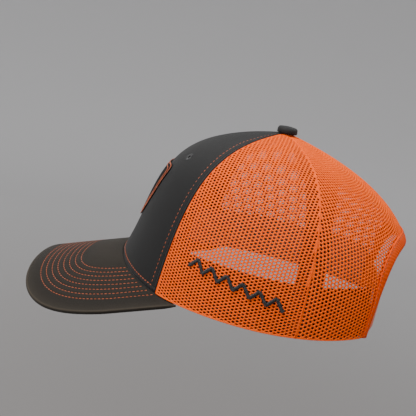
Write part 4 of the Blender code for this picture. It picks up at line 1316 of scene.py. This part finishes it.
def visor_stations(count):
    """Evenly spaced places round the visor's edge: (share along a side, phase round the front)."""
    first = math.radians(VISOR_END_PHASE)
    slide = np.linspace(0, 1, 200)[:-1]
    fine = np.linspace(first, math.pi - first, 2001)
    shares = np.concatenate([slide, np.ones(len(fine)), slide[::-1]])
    phases = np.concatenate([np.full(199, first), fine, np.full(199, math.pi - first)])
    total = lengths_along(visor_at(shares, phases, 0.0))
    at = np.linspace(0, total[-1], count)
    return np.interp(at, total, shares), np.interp(at, total, phases)


def visor_at(shares, phases, inset):
    """A place on the unrolled visor, `inset` inside its free edge."""
    tip = visor_root(VISOR_CLEARANCE, math.radians(VISOR_SPAN))
    left = (phases < math.pi / 2)[..., None]
    inward = np.where(left, (-1.0, 0.0), (1.0, 0.0))
    tip = np.where(left, tip, tip * (-1, 1)) + inward * np.asarray(inset)[..., None]
    return lerp(tip, visor_curve(inset, phases), shares[..., None])


def visor_reach(shares, phases):
    """How far inward each station can go before it meets the crown."""
    grow = 1 + VISOR_CLOSE / HALF_WIDTH

    def free(inset):
        place = visor_point(*visor_at(shares, phases, inset).T)
        return (place[:, 0] / HALF_WIDTH) ** 2 + (place[:, 1] / HALF_LENGTH) ** 2 > grow**2

    return highest(free, np.zeros(len(shares)), np.full(len(shares), 74 * MM), 30)


def visor_thickness(shares):
    """The visor thins out at its two ends."""
    return lerp(VISOR_TIP_DEPTH, VISOR_DEPTH, np.clip(shares / VISOR_TIP_TAPER, 0, 1))[:, None]


def edge_roll(inset, thickness, top):
    """How far the cloth has turned over the board's edge."""
    roll = VISOR_EDGE_ROLL[0 if top else 1]
    turned = np.clip((roll - inset) / roll, 0, 1)
    return (thickness / 2 - 0.08 * MM) * (1 - np.sqrt(1 - turned**2))


def visor_layer(name, top):
    shares, phases = visor_stations(300)
    reach = visor_reach(shares, phases)
    levels = [0, 0.04, 0.15, 0.35, 0.6, 0.9, 1.2, 1.6, 2.3, 3.2, 4.5, 6.0, 7.5, 8.7]
    for row in STITCH_ROWS:
        levels += [row / MM + step for step in (-1.3, -0.75, -0.4, -0.15, 0.15, 0.4, 0.75, 1.3, 2.0)]
    levels = np.array(levels + list(np.linspace(42, 71, 16))) * MM
    near_crown = np.array([2.4, 1.7, 1.25, 1.0, 0.8, 0.6, 0.4, 0.2, 0.0]) * MM
    inset = np.minimum(levels[None, :], np.maximum(reach[:, None] - near_crown[0], 0))
    inset = np.concatenate([inset, np.maximum(reach[:, None] - near_crown[None, 1:], inset[:, -1:])], 1)
    flat = visor_at(*(np.broadcast_to(v[:, None], inset.shape) for v in (shares, phases)), inset)
    grooves = sum(bell(inset, row, 0.42 * MM) for row in STITCH_ROWS)
    puffs = sum(bell(inset, row + 2.0 * MM, 1.1 * MM) for row in STITCH_ROWS[:-1])
    relief = (0.26 if top else 0.18) * MM * grooves - 0.10 * MM * puffs
    to_crown = reach[:, None] - inset
    turned_in = np.clip(1 - to_crown / (1.3 * MM), 0, 1) ** 2
    relief = relief + 1.25 * MM * turned_in
    thickness = visor_thickness(shares)
    cloth = VISOR_CLOTH * thickness / VISOR_DEPTH
    roll = edge_roll(inset, thickness, top)
    face = roll + relief
    back = np.maximum(face + 0.15 * MM, cloth + roll * 0.55)
    back = np.where(to_crown < 1.1 * MM, face + 0.5 * MM, back)
    if not top:
        face, back = thickness - face, thickness - back
    outer = visor_point(flat[..., 0], flat[..., 1], face)
    inner = visor_point(flat[..., 0], flat[..., 1], back)
    # The first term is a pale line just inside the free edge: wear and a painted highlight along the rolled
    # edge.
    wear = 1.0 * bell(inset, 1.1 * MM, 0.5 * MM) + 0.25 * bell(inset, 2.4 * MM, 2.5 * MM) + 0.10 * puffs
    wear = wear + 0.25 * bell(inset, 55 * MM, 12 * MM)
    quads = grid_faces(*inset.shape)
    faces = np.concatenate([quads[:, [0, 1, 2]], quads[:, [0, 2, 3]]])
    return thick_mesh(name, outer.reshape(-1, 3), inner.reshape(-1, 3), faces, flat.reshape(-1, 2) / MM,
                      "visor_twill", wear=wear.ravel())


def visor_rows(top):
    """The rows of stitching, each a fixed distance inside the free edge."""
    shares, phases = visor_stations(1200)
    reach = visor_reach(shares, phases)
    depth = 0.20 * MM if top else VISOR_DEPTH - 0.14 * MM
    rows = []
    for row in STITCH_ROWS:
        free = reach > row + 1.3 * MM
        flat = visor_at(shares[free], phases[free], np.full(free.sum(), row))
        place = visor_point(*flat.T, depth)
        normal = unit(visor_point(*flat.T, 0.0) - visor_point(*flat.T, 1 * MM))
        rows.append(running(place, normal if top else -normal, 2.8 * MM))
    name = "visor_stitches_top" if top else "visor_stitches_under"
    return stitches(name, *joined(rows), 2.12 * MM, 0.58 * MM, "orange_thread", 0.54 * MM, lift=0.03 * MM,
                    seed=3)


def build_visor():
    for name, node, top in (("visor_cloth_top", "visor_top", True),
                            ("visor_cloth_under", "visor_underside", False)):
        layer = visor_layer(name, top)
        row = visor_rows(top)
        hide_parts(node)


# ---------------------------------------------------------------- button, badge, motif


BUTTON_RADIUS = 7.05 * MM
BUTTON_HEIGHT = 4.1 * MM
BUTTON_PROFILE = (
    (0.26, 0.02), (0.5, -0.03), (0.75, -0.08), (0.9, -0.12), (0.97, -0.1), (1.0, 0.0), (1.012, 0.14),
    (1.01, 0.32), (0.995, 0.52), (0.965, 0.70), (0.91, 0.83), (0.82, 0.91), (0.68, 0.955), (0.5, 0.98),
    (0.3, 0.995), (0.12, 1.0))


def build_button():
    """A steel shell covered with the front's twill, gathered a little where it turns under."""
    turns = circle(60)
    sections = []
    for out, up in BUTTON_PROFILE:
        fold = 0.16 * MM * np.cos(turns * 15 + 0.8 * np.sin(turns * 3)) * np.clip(1 - (up + 0.2) / 0.55, 0, 1)
        reach = BUTTON_RADIUS * out + fold * min(out, 1.0)
        wave = 0.05 * MM * np.sin(turns * 4 + 1) * up
        sections.append(np.stack([reach * np.cos(turns), PEAK_Y + reach * np.sin(turns),
                                  CROWN_HEIGHT + BUTTON_HEIGHT * up + wave], -1))
    sections = np.array(sections)
    wear = np.repeat([0.5 * bell(up, 0.62, 0.3) for _, up in BUTTON_PROFILE], len(turns))
    cover = tube("button_cloth", sections, "charcoal_twill", wear=np.append(wear, [0, 0]))
    set_flat(cover, np.concatenate([sections[..., :2].reshape(-1, 2), [[0, PEAK_Y]] * 2]))
    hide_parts("button_cover")


BADGE_MIDDLE = 49.5 * MM
BADGE_HALF_SIZE = (28.4 * MM, 22.5 * MM)
BADGE_TAPER = 0.26


def badge_place(across, up, depth=0.0):
    """Points and outward normals over the front, `across` from the centre seam and `up` from the visor."""
    across, up = np.asarray(across, float), np.asarray(up, float)
    rise = rise_at_length(0.0, up)
    step = 0.02
    rate = np.linalg.norm(crown_face(step, rise) - crown_face(-step, rise), axis=-1) / (2 * step)
    angle = across / rate
    return crown(angle, rise, depth), crown_normal(angle, rise)


def shield(phase, grow):
    """Outline of a plain shield: level top with square corners, narrowing to a rounded foot."""
    side, lift = np.cos(phase), np.sin(phase)
    power = np.where(lift > 0, 0.25, 0.5)
    across = np.sign(side) * np.abs(side) ** power
    up = np.sign(lift) * np.abs(lift) ** power
    width = 1 - BADGE_TAPER * np.maximum(-up, 0)
    return (BADGE_HALF_SIZE[0] + grow) * across * width, BADGE_MIDDLE + (BADGE_HALF_SIZE[1] + grow) * up


def shield_phases(grow, count):
    slide = np.linspace(0, 1, 600)[:-1]
    eased = slide**4 / (slide**4 + (1 - slide) ** 4) * math.pi / 2
    fine = np.append(np.concatenate([eased + quarter * math.pi / 2 for quarter in range(4)]), 2 * math.pi)
    x, y = shield(fine, grow)
    total = lengths_along(np.stack([x, y], -1))
    return np.interp(np.linspace(0, total[-1], count, endpoint=False), total, fine)


def shield_line(grow, depth, count):
    """Evenly spaced points, outward directions across the line, and normals, round the shield."""
    phase = shield_phases(grow, count)
    place, normal = badge_place(*shield(phase, grow), depth)
    beyond, _ = badge_place(*shield(phase, grow + 1 * MM), depth)
    return place, beyond - place, normal


def build_badge():
    """A black patch with two satin-stitched orange lines round its edge."""
    turns = shield_phases(0.0, 220)
    outer, maps = [], []
    for grow, depth in ((0.0, -0.35), (0.0, -0.8), (-0.3, -1.0)):
        maps.append(shield(turns, grow * MM))
        outer.append(badge_place(*maps[-1], depth * MM)[0])
    edge = shield(turns, -0.4 * MM)
    for share in (0.96, 0.9, 0.8, 0.7, 0.6, 0.5, 0.4, 0.3, 0.2, 0.1, 0.02):
        across, up = edge[0] * share, BADGE_MIDDLE + (edge[1] - BADGE_MIDDLE) * share
        maps.append((across, up))
        outer.append(badge_place(across, up, -1.0 * MM)[0])
    patch = tube("badge_patch_cloth", np.array(outer), "black_thread")
    maps = np.stack(maps).transpose(0, 2, 1).reshape(-1, 2)
    set_flat(patch, np.concatenate([maps, maps[:1], [[0, BADGE_MIDDLE]]]))
    patch.data.materials[0] = SATIN
    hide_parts("badge_patch")
    for index, (grow, width) in enumerate(((-0.65, 1.3), (-3.3, 1.2))):
        place, spoke, normal = shield_line(grow * MM, -1.0 * MM, 420)
        border = stitches(f"badge_line_{index + 1}", place, spoke, normal, width * MM, 0.44 * MM,
                          "orange_thread", 0.5 * MM, seed=11 + index)
        if index == 0:
            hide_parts("badge_border")


MOTIF_START = (66.4, 31.0)
MOTIF_END = (104.0, 19.5)
MOTIF_HALF_HEIGHT = 3.4
MOTIF_STEPS = 13


def build_motif():
    """A plain zigzag in satin stitch on the wearer's left mesh panel."""
    corners = []
    for step in range(MOTIF_STEPS):
        share = step / (MOTIF_STEPS - 1)
        up = lerp(MOTIF_START[1], MOTIF_END[1], share) + MOTIF_HALF_HEIGHT * (1 if step % 2 else -1)
        corners.append((math.radians(lerp(MOTIF_START[0], MOTIF_END[0], share)), up * MM))
    rows = []
    for (a0, u0), (a1, u1) in zip(corners[:-1], corners[1:]):
        shares = np.linspace(0, 1, 24)
        angles = lerp(a0, a1, shares)
        rises = np.array([float(rise_at_length(a, u)) for a, u in zip(angles, lerp(u0, u1, shares))])
        place, normal = crown(angles, rises, -0.55 * MM), crown_normal(angles, rises)
        rows.append((place, np.cross(normal, np.gradient(place, axis=0)), normal))
    piece = stitches("side_zigzag", *joined(rows), 2.7 * MM, 0.55 * MM, "black_thread", 1.1 * MM, seed=21)
    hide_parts("side_motif")


# ---------------------------------------------------------------- snap strap

STRAP_HEIGHT = 20.0 * MM
STRAP_THICKNESS = 1.2 * MM
STRAP_BOTTOM = 7.0 * MM
STRAP_BOW = 3.0 * MM
STRAP_BOW_POWER = 3.5
STRAP_REACH_PAST_CENTRE = 14.4 * MM
STRAP_CORNER = 5.0 * MM
STRAP_GAP = 0.3 * MM
STRAP_KNUCKLE_CLEARANCE = 0.69 * MM
TAB_DEPTH = 1.9 * MM
TAB_PAST_ARCH = 1.4
SNAP_PITCH = 8.6 * MM
SNAP_COUNT = 6
SNAP_HOLE_RADIUS = 2.7 * MM
SNAP_PEG_HEIGHT = 1.8 * MM
STRAP_MIDDLE = STRAP_BOTTOM + STRAP_HEIGHT / 2
KNUCKLE_RADIUS = 0.58


def strap_hinge():
    """The place of the outer half's hinge, across and back, as the frame has it."""
    joint = next(j for j in frame["joints"] if j["name"] == "outer_strap_swing")
    return joint["pos_m"][0], joint["pos_m"][1]


def strap_line(x, outward):
    half, back = strap_hinge()
    return back + (STRAP_BOW + outward) * (1 - np.abs(x / half) ** STRAP_BOW_POWER)


def strap_square(x, outward):
    slope = (strap_line(x + 0.1 * MM, outward) - strap_line(x - 0.1 * MM, outward)) / (0.2 * MM)
    return unit(np.stack([-slope, np.ones_like(slope), np.zeros_like(slope)], -1))


def strap_half(name, start, tip, outward):
    """A flexible plastic strip on edge, from its hinge to a rounded tip."""
    length = abs(tip - start)
    spots = np.concatenate([np.linspace(0, length - STRAP_CORNER, 60),
                            length - STRAP_CORNER * (1 - np.sin(np.linspace(0, math.pi / 2, 12)[1:]))])
    x = start + np.sign(tip - start) * spots
    to_tip = np.minimum(length - spots, STRAP_CORNER)
    rounding = np.sqrt(np.maximum(STRAP_CORNER**2 - (STRAP_CORNER - to_tip) ** 2, 0))
    half = STRAP_HEIGHT / 2 - STRAP_CORNER + rounding
    levels = np.linspace(-1, 1, 13)
    square = strap_square(x, outward)
    base = np.stack([x, strap_line(x, outward), np.zeros_like(x)], -1)
    grid = base[:, None] + np.stack([0 * levels, 0 * levels, levels], -1)[None] * half[:, None, None]
    grid[..., 2] += STRAP_MIDDLE
    outer = grid + square[:, None] * STRAP_THICKNESS / 2
    inner = grid - square[:, None] * STRAP_THICKNESS / 2
    return shell(name, outer, inner, "snap_plastic", body="outer_strap" if outward else "inner_strap")


def strap_web(side, mirrored):
    """The bend between the sewn-in end of the strap and its free half."""
    half, back = strap_hinge()
    heights = np.linspace(STRAP_BOTTOM + 0.1 * MM, STRAP_BOTTOM + STRAP_HEIGHT - 0.1 * MM, 9)
    angles = math.pi - math.radians(ARCH_HALF_ANGLE) + np.radians([0.9, TAB_PAST_ARCH])
    rises = np.linspace(0, 0.6, 301)
    columns, squares = [], []
    for angle in angles:
        rise = np.interp(heights, crown_face(angle, rises)[:, 2], rises)
        columns.append(crown(angle, rise, TAB_DEPTH + STRAP_THICKNESS / 2))
        squares.append(crown_normal(np.full_like(rise, angle), rise))
    hinge = np.stack([np.full_like(heights, half), np.full_like(heights, back), heights], -1)
    away = columns[-1][4] - hinge[4]
    away[2] = 0
    away = unit(away)
    columns.append(hinge + away * STRAP_KNUCKLE_CLEARANCE)
    squares.append(np.broadcast_to((-away[1], away[0], 0.0), hinge.shape))
    middle, square = np.stack(columns), np.stack(squares)
    middle = np.insert(middle, 2, (middle[1] + middle[2]) / 2, axis=0)
    square = np.insert(square, 2, (square[1] + square[2]) / 2, axis=0)
    grids = [middle + square * STRAP_THICKNESS * 0.49, middle - square * STRAP_THICKNESS * 0.49]
    shell(f"strap_bend_{side}", *on_side(mirrored, *grids), "snap_plastic")


def build_straps():
    half, back = strap_hinge()
    for side, mirrored in SIDES:
        strap_web(side, mirrored)
    step = STRAP_THICKNESS + STRAP_GAP
    holes = strap_half("strap_with_holes", half, -STRAP_REACH_PAST_CENTRE, step)
    pegs = strap_half("strap_with_pegs", -half, STRAP_REACH_PAST_CENTRE, 0.0)

    def on_strap(profile, x, outward, sides):
        centre = np.array([x, strap_line(x, outward), STRAP_MIDDLE])
        return turned(profile, centre, strap_square(np.array(x), outward), sides)

    radius = SNAP_HOLE_RADIUS / MM
    top = (STRAP_THICKNESS / 2 + SNAP_PEG_HEIGHT) / MM
    peg = [(1.3, 0.1), (1.3, 0.8), (1.5, 1.2), (1.8, 1.6), (1.8, top - 0.5), (1.6, top - 0.2),
           (1.2, top - 0.03), (0.6, top)]
    places = [(index - 1) * SNAP_PITCH for index in range(SNAP_COUNT)]
    bores = [on_strap([(radius, -3), (radius, 3)], x, step, 32) for x in places]
    studs = [on_strap(peg, -x, 0.0, 24) for x in places]
    reach = STRAP_HEIGHT / 2 / MM - 0.05
    for strap, sign in ((holes, 1), (pegs, -1)):
        place = (sign * half, back, STRAP_MIDDLE)
        join(strap, [turned([(KNUCKLE_RADIUS, -reach), (KNUCKLE_RADIUS, reach)], place, (0, 0, 1))])
    apply_boolean(holes, loose_form("forms", bores, MATERIALS["snap_plastic"]))
    join(pegs, studs)
    for piece, node in ((holes, "snap_strap_holes"), (pegs, "snap_strap_pegs")):
        bevel = piece.modifiers.new("edges", "BEVEL")
        bevel.width = 0.22 * MM
        bevel.segments = 2
        bevel.limit_method = "ANGLE"
        bevel.angle_limit = math.radians(50)
        bake_modifiers(piece)
        piece.data.shade_smooth()
        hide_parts(node)


build_visor()
build_button()
build_badge()
build_motif()
build_straps()

for name, slot in (("visor_board", "visor_board_plastic"), ("button_post", "button_steel"),
                   ("button_backing", "button_steel"), ("strap_tab_left", "snap_plastic"),
                   ("strap_tab_right", "snap_plastic")):
    frame["nodes"][name].data.materials.clear()
    frame["nodes"][name].data.materials.append(MATERIALS[slot])
